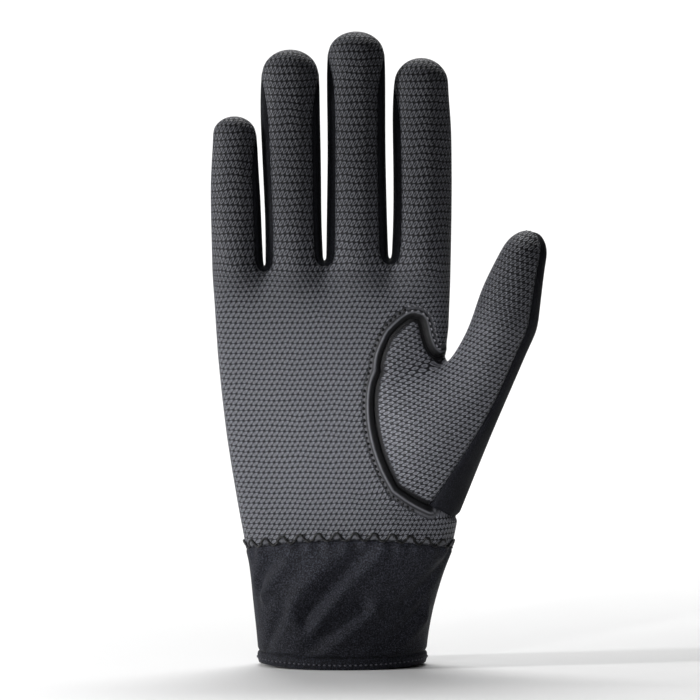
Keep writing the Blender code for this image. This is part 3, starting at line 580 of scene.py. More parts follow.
def finger_sheet(name, back):
    """The straight part of a finger's front or back: x = c + a cos t, y = l - b sin t."""
    columns = FINGERS[name]["back" if back else "front"]
    share = np.linspace(0.0, 1.0, columns + 1)
    left_border, left_outer = finger_side(name, False)
    right_border, right_outer = finger_side(name, True)
    left_heights, left_slide, _ = seam_rows(name, left_border)
    right_heights, right_slide, _ = seam_rows(name, right_border)
    left_open = side_opening(name, left_heights, side_angle(left_outer))
    right_open = side_opening(name, right_heights, side_angle(right_outer))
    if back:
        angle = mix(180.0 + abs(left_open)[:, None], 360.0 - abs(right_open)[:, None], share)
    else:
        angle = mix(180.0 - left_open[:, None], right_open[:, None], share)
    height = mix(left_heights[:, None], right_heights[:, None], share)
    middle, half, depth, lean = finger_frame(name, height)
    turn = np.radians(angle)
    across, edge = np.cos(turn), np.cos(np.radians(FOURCHETTE_ANGLE))
    x = middle + half * across
    for border, slide, sign, outer in (
            (left_border, left_slide, -1.0, left_outer),
            (right_border, right_slide, 1.0, right_outer)):
        if not outer:
            reach = BORDERS["across"][border] * PALM_WIDTH - (middle + sign * half * edge)
            weight = np.clip(sign * across / edge, 0.0, 1.0) ** SLIDE_POWER
            x = x + reach * slide[:, None] * weight
    return np.stack((x, lean - depth * np.sin(turn), height), axis=-1)


def finger_tip(name, back):
    """Half a dome: (y, z) = (-b cos p, c sin p) sin t round the finger's side poles."""
    columns = FINGERS[name]["back" if back else "front"]
    across = np.radians(np.linspace(180.0, 0.0, columns + 1))
    if back:
        rise = np.radians(np.linspace(180.0, TIP_SEAM_ANGLE, BACK_TIP_ROWS + 1))[:, None]
    else:
        rise = np.radians(np.linspace(0.0, TIP_SEAM_ANGLE, FRONT_TIP_ROWS + 1))[:, None]
    start = dome_height(name)
    middle, half, depth, lean = finger_frame(name, start)
    x = middle + half * np.cos(across) + 0.0 * rise
    y = lean - depth * np.cos(rise) * np.sin(across)
    z = start + tip_rise(name) * np.sin(rise) * np.sin(across)
    return np.stack((x, y, z), axis=-1)


def fourchette_sheet(left_name, right_name):
    """A strip from one fingertip down into the crotch and up the next finger."""
    halves = []
    for name, on_right in ((left_name, True), (right_name, False)):
        border, _ = finger_side(name, on_right)
        heights, slide, bend = seam_rows(name, border)
        open_angle = side_opening(name, heights, FOURCHETTE_ANGLE)
        middle, half, depth, lean = finger_frame(name, heights)
        sign = 1.0 if on_right else -1.0
        edge = np.cos(np.radians(open_angle))
        seam_x = middle + sign * half * edge
        full_edge = np.cos(np.radians(FOURCHETTE_ANGLE))
        reach = BORDERS["across"][border] * PALM_WIDTH - (middle + sign * half * full_edge)
        seam_x = seam_x + reach * slide
        turn = np.radians(mix(open_angle[:, None], -open_angle[:, None],
                              np.linspace(0.0, 1.0, FOURCHETTE_COLUMNS + 1)))
        round_size = mix(half, CROTCH_ROUND, slide)
        bulge = round_size[:, None] * (np.cos(turn) - edge[:, None])
        x = seam_x[:, None] + sign * np.cos(bend)[:, None] * bulge
        z = heights[:, None] + np.sin(bend)[:, None] * bulge
        y = lean[:, None] - depth[:, None] * np.sin(turn)
        halves.append(np.stack((x, y, z), axis=-1))
    return np.concatenate((halves[0][::-1], halves[1][1:]), axis=0)


def border_line():
    """Angle and height of the line from the cuff's seam, along the opening, to the crotch."""
    low = np.array(LOW_SHARES)
    foot = seam_height(HOLE_FOOT_ANGLE)
    left = along(hole_edge(HOLE_LEFT), HOLE_ROWS)
    high = np.array(HIGH_SHARES)
    crotch_angle = border_angle(INDEX_BORDER)
    angles = np.concatenate((
        mix(HOLE_FOOT_ANGLE, left[0, 0], low)[:-1], left[:, 0],
        mix(left[-1, 0], crotch_angle, 1.0 - (1.0 - high) ** 2)[1:]))
    heights = np.concatenate((
        mix(foot, left[0, 1], low)[:-1], left[:, 1],
        mix(left[-1, 1], hand_height(BORDERS["height"][INDEX_BORDER]), high)[1:]))
    return angles, heights


def border_angle(place):
    """The angle on the hand's oval under a border between two fingers."""
    height = hand_height(BORDERS["height"][place])
    left = body_size("left", height, PALM_WIDTH)
    right = body_size("right", height, PALM_WIDTH)
    across = (BORDERS["across"][place] * PALM_WIDTH - (left + right) / 2) * 2 / (right - left)
    return np.degrees(np.arcsin(across))


def side_heights():
    """Heights of the hand's lines at its left side and at its thumb side."""
    _, heights = border_line()
    share = (heights - heights[0]) / (heights[-1] - heights[0])
    left = mix(seam_height(-SIDE_ANGLE), hand_height(BORDERS["height"][0]), share)
    right = np.concatenate((
        mix(seam_height(SIDE_ANGLE), hand_height(HOLE_BOTTOM["height"][-1]),
            np.array(LOW_SHARES))[:-1],
        hand_height(mix(HOLE_BOTTOM["height"][-1], HOLE_TOP["height"][-1],
                        np.linspace(0.0, 1.0, HOLE_ROWS + 1))),
        mix(hand_height(HOLE_TOP["height"][-1]), hand_height(BORDERS["height"][-1]),
            np.array(HIGH_SHARES))[1:]))
    return left, right, share


def coons(bottom, top, left, right, rise):
    """A patch of (angle, height) between four edge lines that share their corners."""
    across = np.linspace(0.0, 1.0, len(bottom))[None, :, None]
    rise = np.asarray(rise)[:, None, None]
    between = mix(bottom[None], top[None], rise) + mix(left[:, None], right[:, None], across)
    corners = mix(mix(bottom[0], bottom[-1], across), mix(top[0], top[-1], across), rise)
    return between - corners


def lift_to_skin(patch, finger_row=None):
    """Puts (angle, height) on the hand's oval and lets its top run into the fingers."""
    skin = body_point(patch[..., 0], patch[..., 1])
    if finger_row is not None:
        below = finger_row[None, :, 2] - patch[..., 1]
        weight = 1.0 - smooth(below / KNUCKLE_BLEND)
        straight = np.stack(np.broadcast_arrays(
            finger_row[None, :, 0], finger_row[None, :, 1], patch[..., 1]), axis=-1)
        skin = mix(skin, straight, weight[..., None])
    return skin


def top_row(back):
    """The lowest row of all the fingers' sheets that a front or back runs into."""
    rows = [finger_sheet(name, back)[0] for name in FINGER_NAMES]
    return [rows[0]] + [row[1:] for row in rows[1:]]


def front_left_patch():
    """The palm left of the thumb's opening, as (angle, height), and the row on its top."""
    angles, heights = border_line()
    left, _, share = side_heights()
    low, high = np.array(FRONT_LOW_SHARES), np.array(FRONT_TOP_SHARES)
    upper = smooth((share - share[HOLE_END]) / (1.0 - share[HOLE_END]))[:, None]
    across = mix(low[None], high[None], upper)
    angle = mix(-SIDE_ANGLE, angles[:, None], across)
    height = mix(left[:, None], heights[:, None], across)
    row = np.concatenate(top_row(False)[:INDEX_BORDER])
    bottom = seam_height(angle[0]) - height[0]
    top = row[:, 2] - height[-1]
    height = height + (1.0 - share[:, None]) ** 2 * bottom + share[:, None] ** 2 * top
    return np.stack((angle, height), axis=-1), row


def hole_edge(edge):
    """An edge of the thumb's opening as rows of (angle, height)."""
    return np.stack((edge["angle"], hand_height(edge["height"])), axis=-1)


def front_high_patch():
    """The palm above the opening, up to the index finger, and the row on its top."""
    angles, heights = border_line()
    _, right, _ = side_heights()
    row = finger_sheet("index", False)[0]
    top_angles = np.linspace(angles[-1], SIDE_ANGLE, len(row))
    top = np.stack((top_angles, row[:, 2]), axis=-1)
    left_edge = np.stack((angles, heights), axis=-1)[HOLE_END:]
    right_edge = np.stack((np.full(HAND_ROWS + 1, SIDE_ANGLE), right), axis=-1)[HOLE_END:]
    return coons(hole_edge(HOLE_TOP), top, left_edge, right_edge, HIGH_SHARES), row


def front_low_patch():
    """The strip of palm below the opening, down to the cuff's seam."""
    angles, heights = border_line()
    _, right, _ = side_heights()
    count = len(HOLE_BOTTOM["angle"])
    foot = np.linspace(HOLE_FOOT_ANGLE, SIDE_ANGLE, count)
    bottom = np.stack((foot, seam_height(foot)), axis=-1)
    left_edge = np.stack((angles, heights), axis=-1)[:LOW_END + 1]
    right_edge = np.stack((np.full(HAND_ROWS + 1, SIDE_ANGLE), right), axis=-1)[:LOW_END + 1]
    return coons(bottom, hole_edge(HOLE_BOTTOM), left_edge, right_edge, LOW_SHARES)


def back_patch():
    """The back of the hand as (angle, height), and the row of all the fingers on its top."""
    left, right, share = side_heights()
    counts = [FINGERS[name]["back"] for name in FINGER_NAMES]
    pieces = [np.linspace(BACK_BREAKS[i], BACK_BREAKS[i + 1], count + 1)[int(i > 0):]
              for i, count in enumerate(counts)]
    across = np.concatenate(pieces)
    angle = mix(360.0 - SIDE_ANGLE, SIDE_ANGLE, across)[None] + 0.0 * share[:, None]
    height = mix(left[:, None], right[:, None], across[None])
    row = np.concatenate(top_row(True))
    bottom = seam_height(angle[0]) - height[0]
    top = row[:, 2] - height[-1]
    height = height + (1.0 - share[:, None]) ** 2 * bottom + share[:, None] ** 2 * top
    return np.stack((angle, height), axis=-1), row


def rim_parts():
    """The opening's rim as (angle, height): its foot, left, top and hidden back edges."""
    angles, heights = border_line()
    _, right, _ = side_heights()
    left_edge = np.stack((angles, heights), axis=-1)[LOW_END:HOLE_END + 1]
    back_edge = np.stack((np.full(HAND_ROWS + 1, SIDE_ANGLE), right), axis=-1)
    return (hole_edge(HOLE_BOTTOM)[::-1], left_edge, hole_edge(HOLE_TOP),
            back_edge[LOW_END:HOLE_END + 1][::-1])


def notch_patch():
    """The thumb panel's corner, which lies in the palm's notch beside the tongue."""
    _, left, top, _ = rim_parts()
    near = np.concatenate((left[NOTCH_POINT - NOTCH_ROWS - 1:-1], top[:NOTCH_POINT + 1]))
    far = top[NOTCH_POINT + NOTCH_ROWS:NOTCH_POINT - 1:-1]
    across = np.linspace(0.0, 1.0, NOTCH_COLUMNS + 1)[None, :, None]
    patch = mix(near[:, None], far[:, None], across)
    depth = np.linspace(1.0, 0.0, NOTCH_ROWS + 1)[:, None]
    sag = HAND_LENGTH * NOTCH_SAG * 4.0 * across[..., 0] * (1.0 - across[..., 0])
    patch[..., 1] -= sag * depth
    return patch


def thumb_rim():
    """The rim in 3-D with the notch closed off, as the line that the thumb grows from."""
    foot, left, top, back = rim_parts()
    mouth = notch_patch()[0]
    web = top[NOTCH_POINT + NOTCH_ROWS + 1:]
    rim = np.concatenate((foot, left[1:root_columns() + 1], mouth[1:], web, back[1:-1]))
    return body_point(rim[:, 0], rim[:, 1])


def outward(skin):
    """The level way out from the hand's upright axis."""
    level = skin * (1.0, 1.0, 0.0)
    return level / np.maximum(np.linalg.norm(level, axis=-1, keepdims=True), WELD)


def thumb_angles():
    """The angle of every column of the thumb, round its own axis."""
    bottom = np.array(THUMB_BOTTOM_ANGLES)
    left = np.linspace(bottom[-1], THUMB_LEFT_END, root_columns() + 1)[1:]
    mouth = np.linspace(THUMB_LEFT_END, THUMB_NOTCH_END, NOTCH_COLUMNS + 1)[1:]
    web = np.linspace(THUMB_NOTCH_END, THUMB_TOP_END, web_columns() + 1)[1:]
    back = np.linspace(THUMB_TOP_END, bottom[0] + 360.0, HOLE_ROWS + 1)[1:-1]
    return np.radians(np.concatenate((bottom, left, mouth, web, back)))


def web_columns():
    """Columns of the thumb that start at the tongue's end and the web."""
    return len(HOLE_TOP["angle"]) - 1 - NOTCH_POINT - NOTCH_ROWS


def root_columns():
    """Columns of the thumb that start at the opening's left edge, below the notch."""
    return HOLE_ROWS - (NOTCH_ROWS - NOTCH_POINT)


def thumb_sheet():
    """Rings from the opening's rim, eased into ellipses, to a dome at the thumb's tip."""
    parts, angle, rim = THUMB_SECTIONS, thumb_angles(), thumb_rim()
    web = np.array((WEB["across"] * PALM_WIDTH, 0.0, hand_height(WEB["height"])))
    level = np.zeros_like(parts["left_x"])
    left = web + THUMB_LENGTH * np.stack((parts["left_x"], level, parts["left_z"]), -1)
    right = web + THUMB_LENGTH * np.stack((parts["right_x"], level, parts["right_z"]), -1)
    middle = (left + right) / 2
    middle[:, 1] = PALM_DEPTH * parts["lean"]
    forward = PALM_DEPTH * parts["depth"][:, None] * np.array((0.0, -1.0, 0.0))
    rings = (middle[:, None] + ((right - left) / 2)[:, None] * np.cos(angle)[None, :, None]
             + forward[:, None] * np.sin(angle)[None, :, None])
    climb = np.gradient(middle, axis=0)
    climb = climb / np.linalg.norm(climb, axis=-1, keepdims=True)
    tip = web + THUMB_LENGTH * np.array((THUMB_TIP["x"], 0.0, THUMB_TIP["z"]))
    tip[1] = PALM_DEPTH * THUMB_TIP["lean"]
    rise = np.radians(np.linspace(0.0, 90.0, THUMB_TIP_ROWS + 1))[1:, None, None]
    dome = middle[-1] + (rings[-1] - middle[-1]) * np.cos(rise) + (tip - middle[-1]) * np.sin(rise)
    sheet = np.concatenate((thumb_root(rim, rings[0], climb[0], angle), rings[1:], dome))
    return np.concatenate((sheet, sheet[:, :1]), axis=1)


def thumb_root(rim, ring, climb, angle):
    """Cubic Hermite lines from the rim to the first ring, which leave the palm outwards."""
    share = np.array(THUMB_ROOT_SHARES)[:, None, None]
    span = ring - rim
    reach = np.linalg.norm(span, axis=-1, keepdims=True)
    start = span + np.sin(angle)[:, None] * reach * THUMB_LIFT * np.array((0.0, -1.0, 0.0))
    finish = climb * reach * THUMB_PULL
    return ((2 * share ** 3 - 3 * share ** 2 + 1) * rim
            + (share ** 3 - 2 * share ** 2 + share) * start
            + (3 * share ** 2 - 2 * share ** 3) * ring
            + (share ** 3 - share ** 2) * finish)


def thumb_split(sheet):
    """Cuts the thumb's rings into its embossed front and its plain back."""
    first = THUMB_SEAM_STEP
    last = len(HOLE_BOTTOM["angle"]) - 1 + root_columns() + NOTCH_COLUMNS + web_columns()
    rest = np.concatenate((sheet[:, last:], sheet[:, 1:first + 1]), axis=1)
    return sheet[:, first:last + 1], rest


def cuff_angles():
    """The angles of the cuff's columns, which meet the palm's and the back's columns."""
    angles, _ = border_line()
    front = mix(-SIDE_ANGLE, angles[0], np.array(FRONT_LOW_SHARES))
    low = np.linspace(angles[0], SIDE_ANGLE, len(HOLE_BOTTOM["angle"]))
    back = back_patch()[0][0, :, 0][::-1]
    return np.concatenate((front, low[1:], back[1:]))


def cuff_sheet(rows, low, high, bulge):
    """A ring of cloth between two heights, with a bulge: r = r0 + b sin(pi t)."""
    angle = cuff_angles()
    share = np.linspace(0.0, 1.0, rows + 1)[:, None]
    height = mix(low(angle)[None], high(angle)[None], share)
    skin = body_point(angle[None], height)
    swell = bulge * np.sin(np.pi * share) + 0.0 * height
    return skin + outward(skin) * swell[..., None]


def fold_depth(angle, height, share):
    """Soft diagonal folds: -d exp(-(distance to the fold's line / w)^2)."""
    wide = np.radians(PALM_WIDTH / 2)
    total = np.zeros(np.broadcast(angle, height).shape)
    for angle_from, height_from, angle_to, height_to, depth in zip(*CUFF_FOLDS.values()):
        turn = (angle - angle_from + 180.0) % 360.0 - 180.0
        place = np.stack(np.broadcast_arrays(
            turn * wide, height - height_from * CUFF_LENGTH), axis=-1)
        run = np.array(((angle_to - angle_from) * wide, (height_to - height_from) * CUFF_LENGTH))
        part = np.clip((place @ run) / (run @ run), 0.0, 1.0)
        gap = np.linalg.norm(place - part[..., None] * run, axis=-1)
        total = total - FOLD_DEPTH * depth * bell(gap, FOLD_WIDTH)
    return total * np.sin(np.pi * share) ** FOLD_FADE_POWER


def hem_top(angle):
    """The height of the seam between the hem and the cuff."""
    return hem_height(angle) + HEM_HEIGHT


def cloth_map(points, first, second, centre, left_weight=1.0, right_weight=1.0):
    """Where each point lies on the flat cloth: its place along two directions, and what the
    rows and columns are longer than that, added up from the centre column."""
    flat = points @ np.asarray(first)
    steps = np.linalg.norm(np.diff(points, axis=1), axis=-1)
    spare = steps - np.abs(np.diff(flat, axis=1))
    run = np.cumsum(np.maximum(spare, 0.0), axis=1)
    run = np.concatenate((np.zeros((len(points), 1)), run), axis=1)
    run = run - run[:, centre:centre + 1]
    run = run * np.where(np.arange(points.shape[1]) < centre, left_weight, right_weight)
    sign = np.sign(flat[:, -1:] - flat[:, :1])
    return np.stack((flat + run * sign, points @ np.asarray(second)), axis=-1)


def level_map(points, centre, left_weight=1.0, right_weight=1.0):
    """A cloth whose rows run level across the hand."""
    return cloth_map(points, (1.0, 0.0, 0.0), (0.0, 0.0, 1.0), centre, left_weight, right_weight)


def finger_map(name, points):
    """The finger's rows run level; its sides unroll more and more above the crotch."""
    place = FINGER_NAMES.index(name)
    rise = smooth((points[:, :1, 2] - finger_root(name)) / PATTERN_FADE)
    return level_map(points, points.shape[1] // 2, 1.0 if place == 0 else rise,
                     1.0 if place == len(FINGER_NAMES) - 1 else rise)


def tip_map(points, straight):
    """A tip's rows go on from the finger's last row by their distance over the dome."""
    climb = np.linalg.norm(np.diff(points, axis=0), axis=-1)
    climb = np.concatenate((np.zeros((1, points.shape[1])), np.cumsum(climb, axis=0)))
    row = straight[-1]
    return np.stack((row[None, :, 0] + 0.0 * climb, row[None, :, 1] + climb), axis=-1)


def strip_map(points):
    """A strip's own length and width, measured along its middle column and each row."""
    steps = np.linalg.norm(np.diff(points, axis=1), axis=-1)
    across = np.concatenate((np.zeros((len(points), 1)), np.cumsum(steps, axis=1)), axis=1)
    climb = np.linalg.norm(np.diff(points[:, points.shape[1] // 2], axis=0), axis=-1)
    climb = np.concatenate(((0.0,), np.cumsum(climb)))
    return np.stack((across, climb[:, None] + 0.0 * across), axis=-1)


def thumb_ways():
    """The two directions on the thumb's cloth: along its rows and square to them."""
    tilt = np.radians(THUMB_ROWS_TILT)
    return np.array(((np.cos(tilt), 0.0, np.sin(tilt)), (-np.sin(tilt), 0.0, np.cos(tilt))))


def thumb_spare(points, centre, unroll):
    """What the thumb's rows are longer than their front view, by a share of each row."""
    first, second = thumb_ways()
    whole = cloth_map(points, first, second, centre, unroll, unroll)
    return whole - points @ np.stack((first, second), axis=-1)


def lay_thumb_cloth(skin):
    """Adds the front view of the eased thumb panel to the spare lengths of its cloth."""
    chosen = skin["panels"] == PANEL_NAMES.index("thumb_panel")
    skin["cloth"][chosen] += skin["points"][skin["quads"][chosen]] @ thumb_ways().T


def glove_sheets():
    """Every sheet of the cage as (panel, points, place on the cloth)."""
    sheets = []
    left_patch, left_top = front_left_patch()
    high_patch, high_top = front_high_patch()
    rear_patch, rear_top = back_patch()
    half = FINGERS["little"]["front"] // 2
    skin = lift_to_skin(left_patch, left_top)
    sheets.append(("palm_panel", skin, level_map(skin, half, 1.0, 0.0)))
    skin = lift_to_skin(high_patch, high_top)
    sheets.append(("palm_panel", skin, level_map(skin, FINGERS["index"]["front"] // 2, 0.0, 1.0)))
    skin = lift_to_skin(front_low_patch())
    sheets.append(("palm_panel", skin, level_map(skin, 0)))
    skin = lift_to_skin(rear_patch, rear_top)
    sheets.append(("back_panel", skin, level_map(skin, skin.shape[1] // 2, 0.0, 0.0)))
    for name in FINGER_NAMES:
        for back, panel in ((False, "palm_panel"), (True, "back_panel")):
            skin = finger_sheet(name, back)
            cloth = finger_map(name, skin)
            tip = finger_tip(name, back)
            sheets.append((panel, skin, cloth))
            sheets.append((panel, tip, tip_map(tip, cloth)))
    for left, right in zip(FINGER_NAMES, FINGER_NAMES[1:]):
        skin = fourchette_sheet(left, right)
        sheets.append((f"fourchette_{left}_{right}", skin, strip_map(skin)))
    skin = lift_to_skin(notch_patch())
    sheets.append(("thumb_panel", skin, thumb_spare(skin, 0, 0.0)))
    front, rear = thumb_split(thumb_sheet())
    unroll = smooth(np.arange(len(front)) / UNROLL_ROWS)[:, None]
    sheets.append(("thumb_panel", front, thumb_spare(front, front.shape[1] // 3, unroll)))
    sheets.append(("thumb_back", rear, strip_map(rear)))
    for panel, rows, low, high, bulge in (
            ("cuff", CUFF_ROWS, hem_top, seam_height, 0.0),
            ("cuff_hem", HEM_ROWS, hem_height, hem_top, HEM_BULGE)):
        skin = cuff_sheet(rows, low, high, bulge)
        sheets.append((panel, skin, strip_map(skin)))
    return sheets


def grid_faces(rows, columns, first):
    """Corner numbers of the quads of a grid whose first point has the given number."""
    corner = np.arange(rows - 1)[:, None] * columns + np.arange(columns - 1)[None]
    corner = corner.ravel() + first
    return np.stack((corner, corner + 1, corner + columns + 1, corner + columns), axis=-1)


def fill_mesh(mesh, points, faces):
    """Puts whole arrays of points and equal-sided faces into an empty mesh."""
    sides = faces.shape[1]
    mesh.vertices.add(len(points))
    mesh.loops.add(faces.size)
    mesh.polygons.add(len(faces))
    mesh.vertices.foreach_set("co", np.ascontiguousarray(points, dtype=np.float32).ravel())
    mesh.loops.foreach_set("vertex_index", faces.astype(np.int32).ravel())
    mesh.polygons.foreach_set("loop_start", np.arange(0, faces.size, sides, dtype=np.int32))
    mesh.update(calc_edges=True)


def fine_skin():
    """Welds the sheets into one cage and halves its cells by Catmull-Clark's rule."""
    points, faces, panels, cloth, first = [], [], [], [], 0
    for panel, sheet, flat in glove_sheets():
        quads = grid_faces(*sheet.shape[:2], first)
        points.append(sheet.reshape(-1, 3))
        cloth.append(flat.reshape(-1, 2)[quads - first].reshape(-1, 2))
        faces.append(quads)
        panels.append(np.full(len(quads), PANEL_NAMES.index(panel)))
        first += sheet.shape[0] * sheet.shape[1]
    cage = bpy.data.meshes.new("glove_cage")
    fill_mesh(cage, np.concatenate(points), np.concatenate(faces))
    cage.uv_layers.new(name="cloth").data.foreach_set("uv", np.concatenate(cloth).ravel())
    cage.polygons.foreach_set("material_index", np.concatenate(panels).astype(np.int32))
    work = bmesh.new()
    work.from_mesh(cage)
    bmesh.ops.remove_doubles(work, verts=work.verts, dist=WELD)
    bmesh.ops.dissolve_degenerate(work, edges=work.edges, dist=WELD)
    bmesh.ops.recalc_face_normals(work, faces=work.faces)
    work.to_mesh(cage)
    work.free()
    ease_mouth(cage)
    keep_seams(cage)
    body = bpy.data.objects.new("glove_cage", cage)
    bpy.context.scene.collection.objects.link(body)
    halved = body.modifiers.new("halved", "SUBSURF")
    halved.levels = halved.render_levels = HALVINGS
    graph = bpy.context.evaluated_depsgraph_get()
    fine = bpy.data.meshes.new_from_object(body.evaluated_get(graph), depsgraph=graph)
    bpy.data.objects.remove(body)
    return fine


def column(items, name, width=1, kind=np.float64):
    """One property of all of a mesh's items as an array."""
    values = np.empty(len(items) * width, dtype=kind)
    items.foreach_get(name, values)
    return values.reshape(-1, width) if width > 1 else values


def ease(points, edges, weight, rounds):
    """Moves points to the middle of their neighbours, by their weight in every round."""
    active = np.flatnonzero(weight > 0.0)
    place = np.full(len(points), -1)
    place[active] = np.arange(len(active))
    pairs = np.concatenate((edges, edges[:, ::-1]))
    pairs = pairs[place[pairs[:, 0]] >= 0]
    taker, giver = place[pairs[:, 0]], pairs[:, 1]
    count = np.bincount(taker, minlength=len(active))[:, None]
    points = points.copy()
    for _ in range(rounds):
        total = np.stack([np.bincount(taker, points[giver, axis], len(active))
                          for axis in range(3)], axis=-1)
        points[active] += weight[active, None] * (total / count - points[active])
    return points


def mouth_gap(points):
    """How far points are from the line across the thumb panel that closes the notch."""
    mouth = lift_to_skin(notch_patch())[0]
    shares = np.linspace(0.0, 1.0, MOUTH_STEPS)
    mouth = np.concatenate([mix(mouth[:-1], mouth[1:], share) for share in shares])
    return np.linalg.norm(points[:, None] - mouth[None], axis=-1).min(axis=-1)


def cage_panels(cage):
    """The panel of every corner of the cage's faces."""
    return np.repeat(column(cage.polygons, "material_index", 1, np.int32),
                     column(cage.polygons, "loop_total", 1, np.int32))


def ease_mouth(cage):
    """Lets the thumb panel run smoothly from the notch beside the tongue to the thumb."""
    points = column(cage.vertices, "co", 3)
    corner = column(cage.loops, "vertex_index", 1, np.int32)
    on_thumb = np.zeros(len(points), dtype=bool)
    panels = cage_panels(cage)
    on_thumb[corner[panels == PANEL_NAMES.index("thumb_panel")]] = True
    on_thumb[corner[panels != PANEL_NAMES.index("thumb_panel")]] = False
    gap = np.full(len(points), MOUTH_REACH)
    gap[on_thumb] = mouth_gap(points[on_thumb])
    weight = smooth((MOUTH_REACH - gap) / MOUTH_SOFT) / 2
    points = ease(points, column(cage.edges, "vertices", 2, np.int32), weight, MOUTH_ROUNDS)
    cage.vertices.foreach_set("co", points.astype(np.float32).ravel())
    cage.update()


def keep_seams(cage):
    """Creases the edges between two panels, so that the seams keep their own curves."""
    panels, edge = cage_panels(cage), column(cage.loops, "edge_index", 1, np.int32)
    low = np.full(len(cage.edges), len(PANEL_NAMES))
    high = np.full(len(cage.edges), -1)
    np.minimum.at(low, edge, panels)
    np.maximum.at(high, edge, panels)
    crease = cage.attributes.new("crease_edge", "FLOAT", "EDGE")
    crease.data.foreach_set("value", (low != high).astype(np.float32))


def read_mesh(mesh):
    """Points, normals, edges, quads, panel numbers and cloth places of a mesh of quads."""
    return dict(
        points=column(mesh.vertices, "co", 3),
        normals=column(mesh.vertices, "normal", 3),
        edges=column(mesh.edges, "vertices", 2, np.int32),
        quads=column(mesh.loops, "vertex_index", 1, np.int32).reshape(-1, 4),
        panels=column(mesh.polygons, "material_index", 1, np.int32),
        cloth=column(mesh.uv_layers["cloth"].data, "uv", 2).reshape(-1, 4, 2))


def point_normals(skin):
    """The way out of every point: the sum of its quads' areas times their ways out."""
    points, quads = skin["points"], skin["quads"]
    across = np.cross(points[quads[:, 2]] - points[quads[:, 0]],
                      points[quads[:, 3]] - points[quads[:, 1]])
    total = np.stack([np.bincount(quads.ravel(), np.repeat(across[:, axis], 4), len(points))
                      for axis in range(3)], axis=-1)
    return total / np.linalg.norm(total, axis=-1, keepdims=True)


def on_panels(skin, names):
    """Which points of the skin belong to one of the panels."""
    numbers = [PANEL_NAMES.index(name) for name in names]
    mask = np.zeros(len(skin["points"]), dtype=bool)
    mask[skin["quads"][np.isin(skin["panels"], numbers)].ravel()] = True
    return mask


def seam_points(skin, first_panels, second_panels):
    """The points that lie between a panel of one group and a panel of the other."""
    return np.flatnonzero(on_panels(skin, first_panels) & on_panels(skin, second_panels))


def nearest_seam(skin, seeds, reach):
    """Distance of every point to its nearest seam point, and which one that is.
    Round after round, a point takes over its neighbour's seam point where that is closer."""
    points, edges = skin["points"], skin["edges"]
    distance = np.full(len(points), FAR)
    nearest = np.zeros(len(points), dtype=np.int64)
    distance[seeds], nearest[seeds] = 0.0, seeds
    giver = np.concatenate((edges[:, 0], edges[:, 1]))
    taker = np.concatenate((edges[:, 1], edges[:, 0]))
    while True:
        known = distance[giver] < reach
        give, take = giver[known], taker[known]
        gap = np.linalg.norm(points[take] - points[nearest[give]], axis=-1)
        closer = gap < distance[take] - WELD
        if not closer.any():
            return distance, nearest
        give, take, gap = give[closer], take[closer], gap[closer]
        order = np.argsort(-gap)
        nearest[take[order]] = nearest[give[order]]
        distance[take[order]] = gap[order]


def tip_share(points):
    """How deep a seam's groove is: full on the hand, less towards each fingertip."""
    tops = np.array([dome_height(name) for name in FINGER_NAMES])
    middles = np.array([finger_frame(name, dome_height(name))[0] for name in FINGER_NAMES])
    finger = np.abs(points[:, :1] - middles).argmin(axis=1)
    below = smooth((tops[finger] - points[:, 2]) / GROOVE_FADE)
    return GROOVE_TIP_SHARE + (1.0 - GROOVE_TIP_SHARE) * below


def turn_of(points):
    """The angle round the hand's oval, in degrees: the inverse of body_point."""
    height = points[:, 2]
    left = body_size("left", height, PALM_WIDTH)
    right = body_size("right", height, PALM_WIDTH)
    depth = np.where(points[:, 1] < 0.0, body_size("front", height, PALM_DEPTH),
                     body_size("back", height, PALM_DEPTH))
    across = (points[:, 0] - (left + right) / 2) * 2 / (right - left)
    facing = np.sign(-points[:, 1]) * (np.abs(points[:, 1]) / depth) ** (1.0 / OVAL_POWER)
    return np.degrees(np.arctan2(across, facing))


def seam_phase(points, pitch):
    """How many gathers lie between a closed seam's back and each of its points."""
    order = np.argsort(np.arctan2(points[:, 0] - points[:, 0].mean(), -points[:, 1]))
    ring = points[order]
    steps = np.linalg.norm(np.diff(ring, axis=0, append=ring[:1]), axis=-1)
    total = steps.sum()
    run = np.empty(len(points))
    run[order] = np.concatenate(((0.0,), np.cumsum(steps)[:-1])) / total
    return run * round(total / pitch)


def ease_opening(skin):
    """Rounds off the skin on both sides of the opening's edge and where the thumb starts."""
    points = skin["points"]
    gap, _ = nearest_seam(skin, seam_points(skin, ["palm_panel"], ["thumb_panel"]), EASE_REACH)
    near = np.flatnonzero(on_panels(skin, ["thumb_panel", "thumb_back"]))
    gap[near] = np.minimum(gap[near], mouth_gap(points[near]))
    weight = smooth((EASE_REACH - gap) / EASE_SOFT) / 2
    skin["points"] = ease(points, skin["edges"], weight, EASE_ROUNDS)


def front_seam(skin):
    """The thumb's seam that shows from the front, up to the tip."""
    seeds = seam_points(skin, ["thumb_panel"], ["thumb_back"])
    web = np.array((WEB["across"] * PALM_WIDTH, 0.0, hand_height(WEB["height"])))
    tip = web + THUMB_LENGTH * np.array((THUMB_TIP["x"], 0.0, THUMB_TIP["z"]))
    axis = tip - web
    side = (skin["points"][seeds] - web) @ np.array((axis[2], 0.0, -axis[0]))
    return seeds[side > 0.0]


